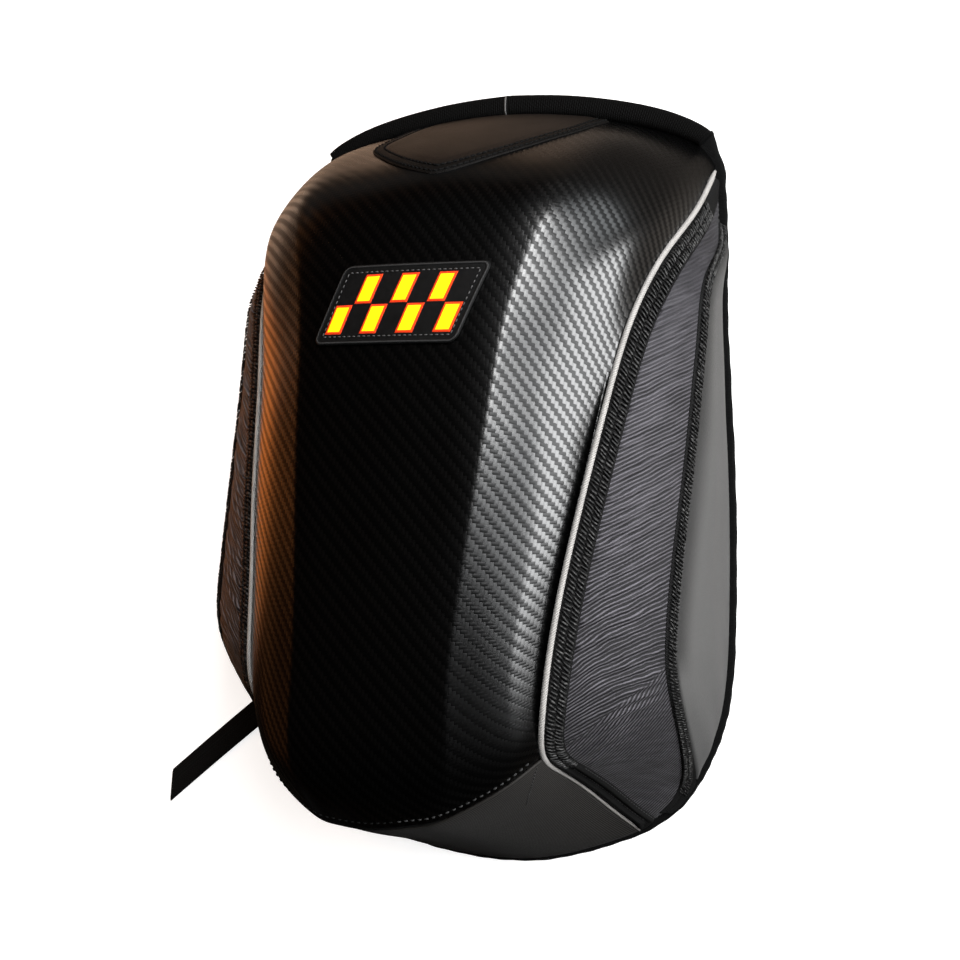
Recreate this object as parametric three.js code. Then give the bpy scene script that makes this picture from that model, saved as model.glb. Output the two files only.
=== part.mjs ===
import * as THREE from "three";

// Helmet backpack with a moulded front shell, lying on its back on its flattened shoulder straps.
// Millimetres. X points to the wearer's right, Y to the top of the pack, Z out of the shell.
// The origin is under the middle of the pack, on the surface that the straps lie on.

// Driving sizes
const GAP = 0.3;
const SHELL_WALL = 2.4;
const CLOTH_WALL = 1.4;
const ZIP_WALL = 1.8;
const ZIP_LIFT = 0.2;
const PANEL_WALL = 1.4;
const PANEL_SEAT = 0.8;
const PIPING_RADIUS = 2;
const PIPING_PROUD = 0.8;
const SEAM_CLEAR = PIPING_RADIUS + 2 * GAP;
const SHELL_CLEAR = PIPING_RADIUS + 3 * GAP;
const FRONT_ZIP_WIDTH = 11;
const REAR_ZIP_WIDTH = 8;
const BINDING = { width: 6, low: 12.5, high: 17.5, round: 1 };
const COLLAR_TAPE = { low: 11.5, high: 25, round: 3, shoulder: 4 };
const BACK = { low: 9.3, high: 19 };
const PAD_THICKNESS = BACK.low - GAP;
const PAD_ROUND = 3;
const WEBBING_WIDTH = 17;
const WEBBING_THICKNESS = 1.6;
const WEBBING_LOW = 3;
const GUSSET_BULGE = 3.5;
const SIDE_BULGE = 4;
const BOTTOM_BULGE = 3;

// Facets of each piece, along it and across it
const FACETS = {
  shell: [30, 16],
  topPanel: [12, 8],
  badge: [4, 8],
  frontZip: [44, 1],
  gusset: [72, 3],
  rearZip: [32, 2],
  sideWall: [24, 3],
  bottomPanel: [8, 16],
  piping: [40, 5],
  binding: 56,
  collar: 28,
  backTop: 8,
  backSide: 22,
  pad: 20,
  strap: 12,
};

// A named column is a natural cubic spline through its values, read by row number.
function spline(values) {
  const last = values.length - 1;
  const bend = new Array(last + 1).fill(0);
  const share = new Array(last + 1).fill(0);
  for (let i = 1; i < last; i++) {
    const pivot = 4 - share[i - 1];
    share[i] = 1 / pivot;
    bend[i] = (6 * (values[i - 1] - 2 * values[i] + values[i + 1]) - bend[i - 1]) / pivot;
  }
  for (let i = last - 1; i > 0; i--) bend[i] -= share[i] * bend[i + 1];
  return (row) => {
    const i = Math.min(Math.max(Math.floor(row), 0), last - 1);
    const t = row - i;
    const s = 1 - t;
    const straight = s * values[i] + t * values[i + 1];
    return straight + ((s ** 3 - s) * bend[i] + (t ** 3 - t) * bend[i + 1]) / 6;
  };
}

function table(columns, rows) {
  const read = (name, c) => [name, spline(rows.map((row) => row[c]))];
  return Object.fromEntries(columns.map(read));
}

// The piping's line on the right: down beside the shell, round the lower corner and back to the rear edge.
const PIPING = table(["x", "y", "z"], [
  [133, 187, 22],
  [131, 160, 48],
  [127, 138, 74],
  [122, 116, 96],
  [115, 86, 111],
  [109, 52, 119],
  [104, 16, 126],
  [99, -22, 133],
  [94, -62, 138],
  [91, -98, 141],
  [89, -126, 139],
  [86, -146, 126],
  [88, -158, 104],
  [93, -172, 74],
  [100, -189, 44],
  [109.5, -205, 18],
]);
const TONGUE_ROW = 11;
const LAST_ROW = 15;

// Rows of the piping's line between which the pieces of the side run
const PIPING_ROWS = { first: 0.12, last: 14.85 };
const FRONT_ZIP_ROWS = { first: 0.55, last: 14.4 };
const GUSSET_ROWS = { first: 0.75, last: 14.35 };
const REAR_ZIP_ROWS = { first: 1.3, last: 13.5 };
const SIDE_WALL_ROWS = { first: 1.75, last: 12.9 };

// Shell sections, from the collar over the top and down the front to the end of the tongue
const SHELL = table(
  ["centreY", "centreZ", "ridgeX", "ridgeY", "ridgeZ", "flankX", "flankY", "flankZ"],
  [
    [225.4, 24, 88, 213.6, 24, 119, 202.4, 23],
    [206, 67, 93, 194, 69, 122, 175, 62],
    [184, 106, 88, 171, 107, 118, 151, 95],
    [156, 139, 78, 146, 134, 109, 130, 119],
    [116, 155, 66, 110, 149, 97, 99, 134],
    [72, 161, 59, 70, 155, 87, 62, 140],
    [26, 164, 55, 26, 159, 82, 22, 146],
    [-22, 166, 51, -22, 162, 77, -23, 150],
    [-70, 168, 47, -70, 164, 72, -68, 154],
    [-116, 168, 45, -114, 165, 70, -109, 156],
    [-162, 164, 46, -158, 161, 72, -147, 152],
    [-194, 148, 41, -186, 148, 69, -168, 142],
  ],
);
const SECTION_END = 4;
const CROWN_SHARE = 0.6;

// The tongue hangs a little askew: its right half is drawn up and its left half down.
const ASKEW = { share: 0.1, starts: 8 };

// Shallow groove beside the seam, on the rows where it starts, has its full depth, fades and ends
const GROOVE = { depth: 2.2, place: 3.45, reach: 0.5, starts: 2.5, full: 4.5, fades: 9, ends: 10.5 };

// The rear zip's line on the right, row for row with the piping; its ends lie on the rear edge.
const REAR_ZIP = table(["x", "y", "z"], [
  [133.5, 182, 18.5],
  [136, 161, 19],
  [142, 138, 36],
  [145, 114, 70],
  [146, 82, 80],
  [145.5, 48, 83],
  [145, 12, 87],
  [144, -24, 92],
  [143.5, -60, 96],
  [144, -92, 96],
  [145, -116, 84],
  [145, -136, 66],
  [143, -154, 46],
  [138, -170, 27],
  [129, -187, 19],
  [110, -204, 18.5],
]);

// Outer line of the rear edge on the right: one row beside the collar, the piping's rows, the bottom arc.
const REAR_EDGE = table(["x", "y"], [
  [131, 205],
  [137, 184],
  [140, 161],
  [142, 138],
  [143, 114],
  [146, 82],
  [150, 46],
  [154, 8],
  [157, -30],
  [159, -66],
  [160, -98],
  [159, -123],
  [156, -141],
  [151, -157],
  [144, -173],
  [132, -191],
  [112, -207.5],
  [88, -220],
  [61, -231],
  [31, -238],
  [0, -240],
]);
const EDGE_OFFSET = 1;
const BOTTOM_ROW = 20;
const BINDING_FIRST = 0.06;
const FOOT_INSET = 3.5;
const FOOT_HEIGHT = BINDING.high + GAP;

// Upper line of the collar on the right, from the middle of the neck to its end
const COLLAR = table(["x", "y", "width"], [
  [0, 240, 13.4],
  [36, 237.7, 13.2],
  [72, 232, 13],
  [102, 224, 12.5],
  [122, 215, 11.5],
  [130, 209, 10.5],
]);
const COLLAR_LAST = 5;

// Raised panel on the top slope: half width at even steps from the collar to its tip on the brow
const TOP_PANEL = table(["row", "halfWidth"], [
  [0.1, 70],
  [0.25, 79],
  [0.6, 76],
  [1.1, 62],
  [1.7, 41],
  [2.25, 20],
  [2.62, 5],
]);
const TOP_PANEL_X = -5;
const TOP_PANEL_LAST = 6;

// Stitched patch on the front, a leaning parallelogram
const BADGE = { x: 2.5, y: 88, width: 86, height: 44, lean: 0.36, tilt: 0.03, wall: 1.5 };
const BADGE_FIRST_ROW = 3;

// Padded back: the rows of the collar and the rear edge that its outline follows, and its stacked outlines
const BACK_OUTLINE = { collarFirst: 0.6, collarLast: 3.9, edgeFirst: 1.2, edgeLast: 19.5 };
const BACK_LAYERS = [
  { inset: 9, height: BACK.low },
  { inset: 3, height: BACK.low + 1.5 },
  { inset: 0, height: BINDING.low + 1 },
  { inset: 0, height: BACK.high - 2 },
  { inset: 6, height: BACK.high },
];

// Shoulder straps, flattened under the back: the pad's middle line and width from its top to its lower end
const PAD = table(["x", "y", "width"], [
  [58, 198, 58],
  [62, 150, 62],
  [70, 95, 62],
  [80, 35, 58],
  [90, -25, 52],
  [97, -75, 44],
  [100, -94, 40],
]);
const PAD_LAST = 6;
const ADJUSTER = { x: 131, y: -134, length: 24, width: 26, cut: 2 };
const WEBBING_START = { x: 103, y: -98 };

// Free strap tails: the left one lies outwards on the surface, the right one is tucked under the back.
const TAIL_LEFT = [
  [-141.4, -144.2],
  [-158, -159],
  [-182, -180],
  [-212, -206.5],
  [-243.5, -235],
];
const TAIL_RIGHT = [
  [122, -145],
  [98, -164],
  [66, -186],
  [30, -207],
  [4, -221],
];
const TAIL_LEFT_CUT = new THREE.Vector3(0.03, 1, 0).normalize();

// Folds of the gusset: short creases across it, on the rows where they start, are deepest and fade out
const FOLD = { pitch: 10, depth: 1.1, lean: 9, starts: 2, full: 3.5, fades: 8, ends: 11 };

const point = (columns, row) => new THREE.Vector3(columns.x(row), columns.y(row), columns.z(row));
const mix = (a, b, t) => a.clone().lerp(b, t);
const smooth = (low, high, value) => THREE.MathUtils.smoothstep(value, low, high);
const arch = (t) => 4 * t * (1 - t);

// Share of a relief that starts, is full, fades and ends at the given rows
function between({ starts, full, fades, ends }, row) {
  return smooth(starts, full, row) * (1 - smooth(fades, ends, row));
}

function range(first, last, steps) {
  return Array.from({ length: steps + 1 }, (_, i) => first + ((last - first) * i) / steps);
}

// Geometry of one closed body from its vertices and triangles
function closedBody(vertices, triangles) {
  const places = vertices.flatMap((v) => v.toArray());
  const geometry = new THREE.BufferGeometry();
  geometry.setAttribute("position", new THREE.Float32BufferAttribute(places, 3));
  geometry.setIndex(triangles.flat());
  geometry.computeVertexNormals();
  return geometry;
}

// Unit normal of a surface at (a, b), from its two tangents
function normalOf(surface, a, b) {
  const STEP = 1e-3;
  const low = (value) => Math.max(value - STEP, 0);
  const high = (value) => Math.min(value + STEP, 1);
  const alongA = surface(high(a), b).sub(surface(low(a), b));
  const alongB = surface(a, high(b)).sub(surface(a, low(b)));
  return alongA.cross(alongB).normalize();
}

// A wall with a surface's form: the outer face is lifted off it, the inner face lies a thickness below.
function wall(surface, [stepsA, stepsB], thickness, lift = () => 0) {
  const outer = [];
  const inner = [];
  for (let i = 0; i <= stepsA; i++) {
    for (let j = 0; j <= stepsB; j++) {
      const [a, b] = [i / stepsA, j / stepsB];
      const normal = normalOf(surface, a, b);
      const face = surface(a, b).addScaledVector(normal, lift(a, b));
      outer.push(face);
      inner.push(face.clone().addScaledVector(normal, -thickness));
    }
  }
  const count = outer.length;
  const at = (i, j) => i * (stepsB + 1) + j;
  const triangles = [];
  for (let i = 0; i < stepsA; i++) {
    for (let j = 0; j < stepsB; j++) {
      const [p, q, r, s] = [at(i, j), at(i + 1, j), at(i + 1, j + 1), at(i, j + 1)];
      triangles.push([p, q, r], [p, r, s]);
      triangles.push([p + count, r + count, q + count], [p + count, s + count, r + count]);
    }
  }
  const rim = [];
  for (let i = 0; i < stepsA; i++) rim.push(at(i, 0));
  for (let j = 0; j < stepsB; j++) rim.push(at(stepsA, j));
  for (let i = stepsA; i > 0; i--) rim.push(at(i, stepsB));
  for (let j = stepsB; j > 0; j--) rim.push(at(0, j));
  rim.forEach((p, i) => {
    const q = rim[(i + 1) % rim.length];
    triangles.push([p, p + count, q + count], [p, q + count, q]);
  });
  return closedBody([...outer, ...inner], triangles);
}

// A closed bar: rings of equal count in order along the bar, each ring turning round the way it travels
function bar(rings) {
  const sides = rings[0].length;
  const vertices = rings.flat();
  const triangles = [];
  for (let i = 0; i < rings.length - 1; i++) {
    for (let j = 0; j < sides; j++) {
      const [p, q] = [i * sides + j, i * sides + ((j + 1) % sides)];
      triangles.push([p, q, q + sides], [p, q + sides, p + sides]);
    }
  }
  const end = (rings.length - 1) * sides;
  for (let j = 1; j < sides - 1; j++) triangles.push([0, j + 1, j], [end, end + j, end + j + 1]);
  return closedBody(vertices, triangles);
}

// Copy of a geometry on the other side of the pack
function mirrored(geometry) {
  const copy = geometry.clone();
  const place = copy.attributes.position;
  for (let i = 0; i < place.count; i++) place.setX(i, -place.getX(i));
  const index = copy.index;
  for (let i = 0; i < index.count; i += 3) {
    const second = index.getX(i + 1);
    index.setX(i + 1, index.getX(i + 2));
    index.setX(i + 2, second);
  }
  copy.computeVertexNormals();
  return copy;
}

// Point of the shell: a mirrored section curve through centre, crown, ridge, flank and edge, v from -4 to 4
function shellPoint(row, v) {
  const centre = new THREE.Vector3(0, SHELL.centreY(row), SHELL.centreZ(row));
  const ridge = new THREE.Vector3(SHELL.ridgeX(row), SHELL.ridgeY(row), SHELL.ridgeZ(row));
  const flank = new THREE.Vector3(SHELL.flankX(row), SHELL.flankY(row), SHELL.flankZ(row));
  const seam = point(PIPING, row);
  const edge = seam.clone().addScaledVector(seam.clone().sub(flank).normalize(), -SHELL_CLEAR);
  const crown = mix(centre, ridge, CROWN_SHARE);
  crown.y = centre.y + (ridge.y - centre.y) * CROWN_SHARE ** 2;
  crown.z = centre.z + (ridge.z - centre.z) * CROWN_SHARE ** 3;
  const half = [crown, ridge, flank, edge];
  const section = (axis, sign) => spline([
    ...half.map((p) => sign * p[axis]).reverse(),
    centre[axis],
    ...half.map((p) => p[axis]),
  ]);
  const groove = Math.exp(-(((Math.abs(v) - GROOVE.place) / GROOVE.reach) ** 2));
  const x = section("x", -1)(v + SECTION_END);
  const askew = ASKEW.share * x * (1 - (v / SECTION_END) ** 4) * smooth(ASKEW.starts, TONGUE_ROW, row);
  return new THREE.Vector3(
    x,
    section("y", 1)(v + SECTION_END) + askew,
    section("z", 1)(v + SECTION_END) - GROOVE.depth * groove * between(GROOVE, row),
  );
}

// Value between two limits where a rising test turns true, found by halving
function halving(low, high, isBelow) {
  const ROUNDS = 24;
  for (let i = 0; i < ROUNDS; i++) {
    const middle = (low + high) / 2;
    if (isBelow(middle)) low = middle;
    else high = middle;
  }
  return low;
}

// Section place v where the shell has the given x on a row
function shellAcross(row, x) {
  return halving(-SECTION_END, SECTION_END, (v) => shellPoint(row, v).x < x);
}

// Point of the shell over the place (x, y) on its front
function shellOver(x, y) {
  const isAbove = (row) => shellPoint(row, shellAcross(row, x)).y > y;
  const row = halving(BADGE_FIRST_ROW, TONGUE_ROW, isAbove);
  return shellPoint(row, shellAcross(row, x));
}

// Place on the rear edge, moved in from its outer line
function edgePoint(row, inset, height) {
  const STEP = 0.05;
  const ahead = Math.min(row + STEP, BOTTOM_ROW);
  const behind = Math.max(row - STEP, 0);
  const alongX = REAR_EDGE.x(ahead) - REAR_EDGE.x(behind);
  const alongY = REAR_EDGE.y(ahead) - REAR_EDGE.y(behind);
  const outward = new THREE.Vector3(-alongY, alongX, 0).normalize();
  const place = new THREE.Vector3(REAR_EDGE.x(row), REAR_EDGE.y(row), height);
  return place.addScaledVector(outward, -inset);
}

// Gusset between the piping and the rear zip, bulged outwards; t runs from the piping to the zip.
function gussetPoint(row, t) {
  const OUTWARD = new THREE.Vector3(0.7, 0, 0.7);
  const straight = mix(point(PIPING, row), point(REAR_ZIP, row), t);
  return straight.addScaledVector(OUTWARD, GUSSET_BULGE * arch(t));
}

// Side wall between the rear zip and the binding; t runs from the zip to the binding.
function sidePoint(row, t) {
  const foot = edgePoint(row + EDGE_OFFSET, FOOT_INSET, FOOT_HEIGHT);
  const straight = mix(point(REAR_ZIP, row), foot, t);
  straight.x += SIDE_BULGE * arch(t);
  return straight;
}

const gussetLength = (row) => point(PIPING, row).distanceTo(point(REAR_ZIP, row));
const sideLength = (row) => sidePoint(row, 0).distanceTo(sidePoint(row, 1));

// Sections meet the seams at a slant, so a strip is this much wider along a section than across the seam.
function slant(seam, row) {
  const STEP = 0.05;
  const along = point(seam, row + STEP).sub(point(seam, row - STEP)).normalize();
  const section = point(REAR_ZIP, row).sub(point(PIPING, row)).normalize();
  return 1 / along.cross(section).length();
}

// A strip of a side surface between two rows, bounded by two lines in millimetres along each section
function strip(surface, length, rows, inner, outer) {
  return (a, b) => {
    const row = rows.first + (rows.last - rows.first) * a;
    const place = inner(row) + (outer(row) - inner(row)) * b;
    return surface(row, place / length(row));
  };
}

// How far the gusset stops short of the rear zip's line: half the zip where it runs, nothing on the rear edge
function zipMargin(row) {
  const [NEAR, FAR] = [0.15, 0.5];
  const starts = smooth(REAR_ZIP_ROWS.first - FAR, REAR_ZIP_ROWS.first - NEAR, row);
  const stops = smooth(REAR_ZIP_ROWS.last + NEAR, REAR_ZIP_ROWS.last + FAR, row);
  return 2 * GAP + (REAR_ZIP_WIDTH / 2) * starts * (1 - stops);
}

const LEAST_WIDTH = 1;
const zipInner = (row) => SEAM_CLEAR * slant(PIPING, row);
const zipOuter = (row) => (SEAM_CLEAR + FRONT_ZIP_WIDTH) * slant(PIPING, row);
const gussetInner = (row) => zipOuter(row) + 2 * GAP;
const gussetOuter = (row) => Math.max(gussetLength(row) - zipMargin(row), gussetInner(row) + LEAST_WIDTH);

// Front zip beside the piping
const frontZipStrip = strip(gussetPoint, gussetLength, FRONT_ZIP_ROWS, zipInner, zipOuter);
const frontZip = wall(frontZipStrip, FACETS.frontZip, ZIP_WALL, () => ZIP_LIFT);

// Gusset with its folds
function gussetFold(a, b) {
  const row = GUSSET_ROWS.first + (GUSSET_ROWS.last - GUSSET_ROWS.first) * a;
  const along = PIPING.y(row) + FOLD.lean * b;
  const wave = Math.sin((2 * Math.PI * along) / FOLD.pitch) * Math.sin(Math.PI * b);
  return FOLD.depth * between(FOLD, row) * wave;
}
const gussetStrip = strip(gussetPoint, gussetLength, GUSSET_ROWS, gussetInner, gussetOuter);
const gusset = wall(gussetStrip, FACETS.gusset, CLOTH_WALL, gussetFold);

// The rear zip is folded along its line: one half lies on the gusset, the other on the side wall.
function rearZipPoint(a, b) {
  const row = REAR_ZIP_ROWS.first + (REAR_ZIP_ROWS.last - REAR_ZIP_ROWS.first) * a;
  const place = (b - 0.5) * (REAR_ZIP_WIDTH - GAP);
  if (place < 0) return gussetPoint(row, 1 + place / gussetLength(row));
  return sidePoint(row, place / Math.max(sideLength(row), REAR_ZIP_WIDTH));
}
const rearZip = wall(rearZipPoint, FACETS.rearZip, ZIP_WALL, () => ZIP_LIFT);

// Plain wall between the rear zip and the binding
const wallInner = () => REAR_ZIP_WIDTH / 2 + 4 * GAP;
const wallOuter = (row) => Math.max(sideLength(row), wallInner() + LEAST_WIDTH);
const sideWallStrip = strip(sidePoint, wallOuter, SIDE_WALL_ROWS, wallInner, wallOuter);
const sideWall = wall(sideWallStrip, FACETS.sideWall, CLOTH_WALL);

// Shell, and the panel and patch that are stitched on it
const shellSurface = (a, b) => shellPoint(TONGUE_ROW * a, SECTION_END * (2 * b - 1));
const shell = wall(shellSurface, FACETS.shell, SHELL_WALL);
function topPanelPoint(a, b) {
  const row = TOP_PANEL.row(TOP_PANEL_LAST * a);
  const reach = TOP_PANEL.halfWidth(TOP_PANEL_LAST * a) * (2 * b - 1);
  return shellPoint(row, shellAcross(row, TOP_PANEL_X + reach));
}
const topPanel = wall(topPanelPoint, FACETS.topPanel, PANEL_WALL, () => PANEL_WALL + PANEL_SEAT);
function badgePoint(a, b) {
  const up = (0.5 - a) * BADGE.height;
  const across = (b - 0.5) * BADGE.width;
  return shellOver(BADGE.x + across + BADGE.lean * up, BADGE.y + up + BADGE.tilt * across);
}
const badge = wall(badgePoint, FACETS.badge, BADGE.wall, () => BADGE.wall + PANEL_SEAT);

// Bottom panel: a patch between the tongue's edge, the lower runs of piping and the bottom of the rear edge
function bottomPoint(a, b) {
  const across = 2 * b - 1;
  const side = Math.sign(across) || 1;
  const onRow = TONGUE_ROW + (LAST_ROW - TONGUE_ROW) * a;
  const edgeRow = BOTTOM_ROW - Math.abs(across) * (BOTTOM_ROW - LAST_ROW - EDGE_OFFSET);
  const tongue = shellPoint(TONGUE_ROW, SECTION_END * across);
  const foot = edgePoint(edgeRow, FOOT_INSET, FOOT_HEIGHT);
  foot.x *= side;
  const seamRight = point(PIPING, onRow);
  const seamLeft = seamRight.clone().setX(-seamRight.x);
  const ruledSide = (end) => {
    const high = shellPoint(TONGUE_ROW, SECTION_END * end);
    const low = edgePoint(LAST_ROW + EDGE_OFFSET, FOOT_INSET, FOOT_HEIGHT);
    low.x *= end;
    return mix(high, low, a);
  };
  const place = mix(tongue, foot, a);
  place.addScaledVector(seamRight.sub(ruledSide(1)), b);
  place.addScaledVector(seamLeft.sub(ruledSide(-1)), 1 - b);
  place.y -= BOTTOM_BULGE * arch(a) * arch(b);
  return place;
}
const BOTTOM_CLEAR = 0.016;
function bottomStrip(a, b) {
  const down = BOTTOM_CLEAR + (1 - BOTTOM_CLEAR) * a;
  return bottomPoint(down, BOTTOM_CLEAR + (1 - 2 * BOTTOM_CLEAR) * (1 - b));
}
const bottomPanel = wall(bottomStrip, FACETS.bottomPanel, CLOTH_WALL);

// Round cord of the piping, standing a little proud of the seam
function pipingRing(row) {
  const STEP = 0.02;
  const OUTWARD = new THREE.Vector3(0.5, 0, 0.85);
  const sides = FACETS.piping[1];
  const along = point(PIPING, row + STEP).sub(point(PIPING, row - STEP)).normalize();
  const across = new THREE.Vector3(1, 0, 0).addScaledVector(along, -along.x).normalize();
  const up = across.clone().cross(along);
  const centre = point(PIPING, row).addScaledVector(OUTWARD, PIPING_PROUD);
  return range(0, sides - 1, sides - 1).map((i) => {
    const turn = (2 * Math.PI * i) / sides;
    const place = centre.clone().addScaledVector(across, PIPING_RADIUS * Math.cos(turn));
    return place.addScaledVector(up, -PIPING_RADIUS * Math.sin(turn));
  });
}
const piping = bar(range(PIPING_ROWS.first, PIPING_ROWS.last, FACETS.piping[0]).map(pipingRing));

// Binding tape round the rear edge, from one end of the collar round the bottom to the other
function bindingRing(row) {
  const { width, low, high, round } = BINDING;
  const onEdge = Math.min(row, 2 * BOTTOM_ROW - row);
  const profile = [
    [0, low + round], [0, high - round], [round, high],
    [width, high], [width, low], [round, low],
  ];
  const ring = profile.map(([inset, height]) => edgePoint(onEdge, inset, height));
  if (row > BOTTOM_ROW) ring.forEach((p) => p.setX(-p.x));
  return ring;
}
const binding = bar(range(BINDING_FIRST, 2 * BOTTOM_ROW - BINDING_FIRST, FACETS.binding).map(bindingRing));

// Woven collar along the top of the back
function collarRing(place) {
  const STEP = 0.02;
  const { low, high, round, shoulder } = COLLAR_TAPE;
  const row = Math.abs(place);
  const alongX = COLLAR.x(row + STEP) - COLLAR.x(row - STEP);
  const alongY = COLLAR.y(row + STEP) - COLLAR.y(row - STEP);
  const outward = new THREE.Vector3(-alongY, alongX, 0).normalize();
  const top = new THREE.Vector3(COLLAR.x(row), COLLAR.y(row), 0);
  const width = COLLAR.width(row);
  const profile = [
    [0, low + round], [0, high - shoulder], [round, high],
    [width, high], [width, low], [round, low],
  ];
  const ring = profile.map(([inset, height]) => top.clone().addScaledVector(outward, -inset).setZ(height));
  if (place < 0) ring.forEach((p) => p.setX(-p.x));
  return ring;
}
const collar = bar(range(-COLLAR_LAST, COLLAR_LAST, FACETS.collar).map(collarRing));

// Padded back panel inside the binding and the collar: stacked outlines closed by fans
function backOutline(inset) {
  const { collarFirst, collarLast, edgeFirst, edgeLast } = BACK_OUTLINE;
  const [COLLAR_CLEAR, EDGE_CLEAR] = [6 * GAP, 4 * GAP];
  const top = range(collarFirst, collarLast, FACETS.backTop).map((row) => (
    new THREE.Vector3(COLLAR.x(row), COLLAR.y(row) - COLLAR.width(row) - COLLAR_CLEAR, 0)
  ));
  const side = range(edgeFirst, edgeLast, FACETS.backSide).map((row) => (
    edgePoint(row, BINDING.width + EDGE_CLEAR, 0)
  ));
  const right = [...top, ...side];
  const left = right.map((p) => p.clone().setX(-p.x)).reverse();
  return [...right, ...left].map((p) => p.multiplyScalar(1 - inset / p.length()));
}
function stacked(layers) {
  const rings = layers.map(({ inset, height }) => backOutline(inset).map((p) => p.setZ(height)));
  const sides = rings[0].length;
  const vertices = rings.flat();
  const triangles = [];
  for (let i = 0; i < rings.length - 1; i++) {
    for (let j = 0; j < sides; j++) {
      const [p, q] = [i * sides + j, i * sides + ((j + 1) % sides)];
      triangles.push([p, q + sides, q], [p, p + sides, q + sides]);
    }
  }
  const low = vertices.push(new THREE.Vector3(0, 0, layers[0].height)) - 1;
  const high = vertices.push(new THREE.Vector3(0, 0, layers.at(-1).height)) - 1;
  const top = (rings.length - 1) * sides;
  for (let j = 0; j < sides; j++) {
    const next = (j + 1) % sides;
    triangles.push([low, j, next], [high, top + next, top + j]);
  }
  return closedBody(vertices, triangles);
}
const backPanel = stacked(BACK_LAYERS);

// Section of a flat pad with cut corners, as [aside, height] pairs
function padProfile(width, height, cut) {
  const half = width / 2;
  return [[-half, cut], [-half + cut, 0], [half - cut, 0], [half, cut], [half, height - cut],
    [half - cut, height], [-half + cut, height], [-half, height - cut]];
}

// Padded shoulder strap, pressed flat between the back and the surface
function padRing(row) {
  const STEP = 0.02;
  const alongX = PAD.x(row + STEP) - PAD.x(row - STEP);
  const alongY = PAD.y(row + STEP) - PAD.y(row - STEP);
  const across = new THREE.Vector3(-alongY, alongX, 0).normalize();
  const middle = new THREE.Vector3(PAD.x(row), PAD.y(row), 0);
  const profile = padProfile(PAD.width(row), PAD_THICKNESS, PAD_ROUND);
  return profile.map(([aside, height]) => middle.clone().addScaledVector(across, aside).setZ(height));
}
const pad = bar(range(0, PAD_LAST, FACETS.pad).map(padRing));

// Flat strap along a line of places, square at its ends unless the last one is cut along a direction
function flatStrap(line, low, endCut) {
  const curve = new THREE.CatmullRomCurve3(line.map(([x, y]) => new THREE.Vector3(x, y, 0)));
  const half = WEBBING_WIDTH / 2;
  const high = low + WEBBING_THICKNESS;
  const profile = [[-half, low], [half, low], [half, high], [-half, high]];
  return bar(range(0, 1, FACETS.strap).map((t) => {
    const along = curve.getTangent(t);
    const square = new THREE.Vector3(-along.y, along.x, 0);
    const isCut = t === 1 && endCut;
    const across = isCut ? endCut.clone().divideScalar(endCut.dot(square)) : square;
    const middle = curve.getPoint(t);
    return profile.map(([aside, height]) => middle.clone().addScaledVector(across, aside).setZ(height));
  }));
}

// Adjuster block under the lower corner of the back, in line with the strap, and the webbing up to it
const strapRun = new THREE.Vector2(ADJUSTER.x - WEBBING_START.x, ADJUSTER.y - WEBBING_START.y);
const strapWay = strapRun.clone().normalize();
function adjusterRing(along) {
  const profile = padProfile(ADJUSTER.width, PAD_THICKNESS, ADJUSTER.cut);
  return profile.map(([aside, height]) => new THREE.Vector3(
    ADJUSTER.x + strapWay.x * along - strapWay.y * aside,
    ADJUSTER.y + strapWay.y * along + strapWay.x * aside,
    height,
  ));
}
const adjuster = bar([-ADJUSTER.length / 2, ADJUSTER.length / 2].map(adjusterRing));
const webbingReach = strapRun.length() - ADJUSTER.length / 2 - GAP;
const webbingEnd = [
  WEBBING_START.x + strapWay.x * webbingReach,
  WEBBING_START.y + strapWay.y * webbingReach,
];
const webbing = flatStrap([[WEBBING_START.x, WEBBING_START.y], webbingEnd], WEBBING_LOW);
const tailLeft = flatStrap(TAIL_LEFT, 0, TAIL_LEFT_CUT);
const tailRight = flatStrap(TAIL_RIGHT, 0);

// Finishes
const finish = (color, roughness) => new THREE.MeshStandardMaterial({ color, roughness, metalness: 0 });
const TWILL_SKIN = finish(0x17181a, 0.45);
const SMOOTH_SKIN = finish(0x1b1b1c, 0.5);
const PATCH = finish(0x121213, 0.6);
const REFLECTIVE = finish(0xa9a8a5, 0.4);
const COIL = finish(0x0d0d0e, 0.55);
const RIBBED_CLOTH = finish(0x2c2d30, 0.75);
const PLAIN_CLOTH = finish(0x34363a, 0.6);
const WEBBING = finish(0x0b0b0c, 0.85);
const NYLON = finish(0x101011, 0.5);

const pack = new THREE.Group();
function add(name, geometry, material) {
  const mesh = new THREE.Mesh(geometry, material);
  mesh.name = name;
  pack.add(mesh);
}
function addPair(name, geometry, material) {
  add(`${name}_right`, geometry, material);
  add(`${name}_left`, mirrored(geometry), material);
}

add("shell", shell, TWILL_SKIN);
add("top_panel", topPanel, SMOOTH_SKIN);
add("badge", badge, PATCH);
addPair("piping", piping, REFLECTIVE);
addPair("front_zip", frontZip, COIL);
addPair("gusset", gusset, RIBBED_CLOTH);
addPair("rear_zip", rearZip, COIL);
addPair("side_wall", sideWall, PLAIN_CLOTH);
add("bottom_panel", bottomPanel, PLAIN_CLOTH);
add("edge_binding", binding, WEBBING);
add("collar_band", collar, WEBBING);
add("back_panel", backPanel, WEBBING);
addPair("shoulder_pad", pad, WEBBING);
addPair("webbing", webbing, WEBBING);
addPair("adjuster", adjuster, NYLON);
add("strap_tail_left", tailLeft, WEBBING);
add("strap_tail_right", tailRight, WEBBING);

export default pack;
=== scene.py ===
import bpy
import numpy as np
from mathutils import Matrix, Vector


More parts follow.
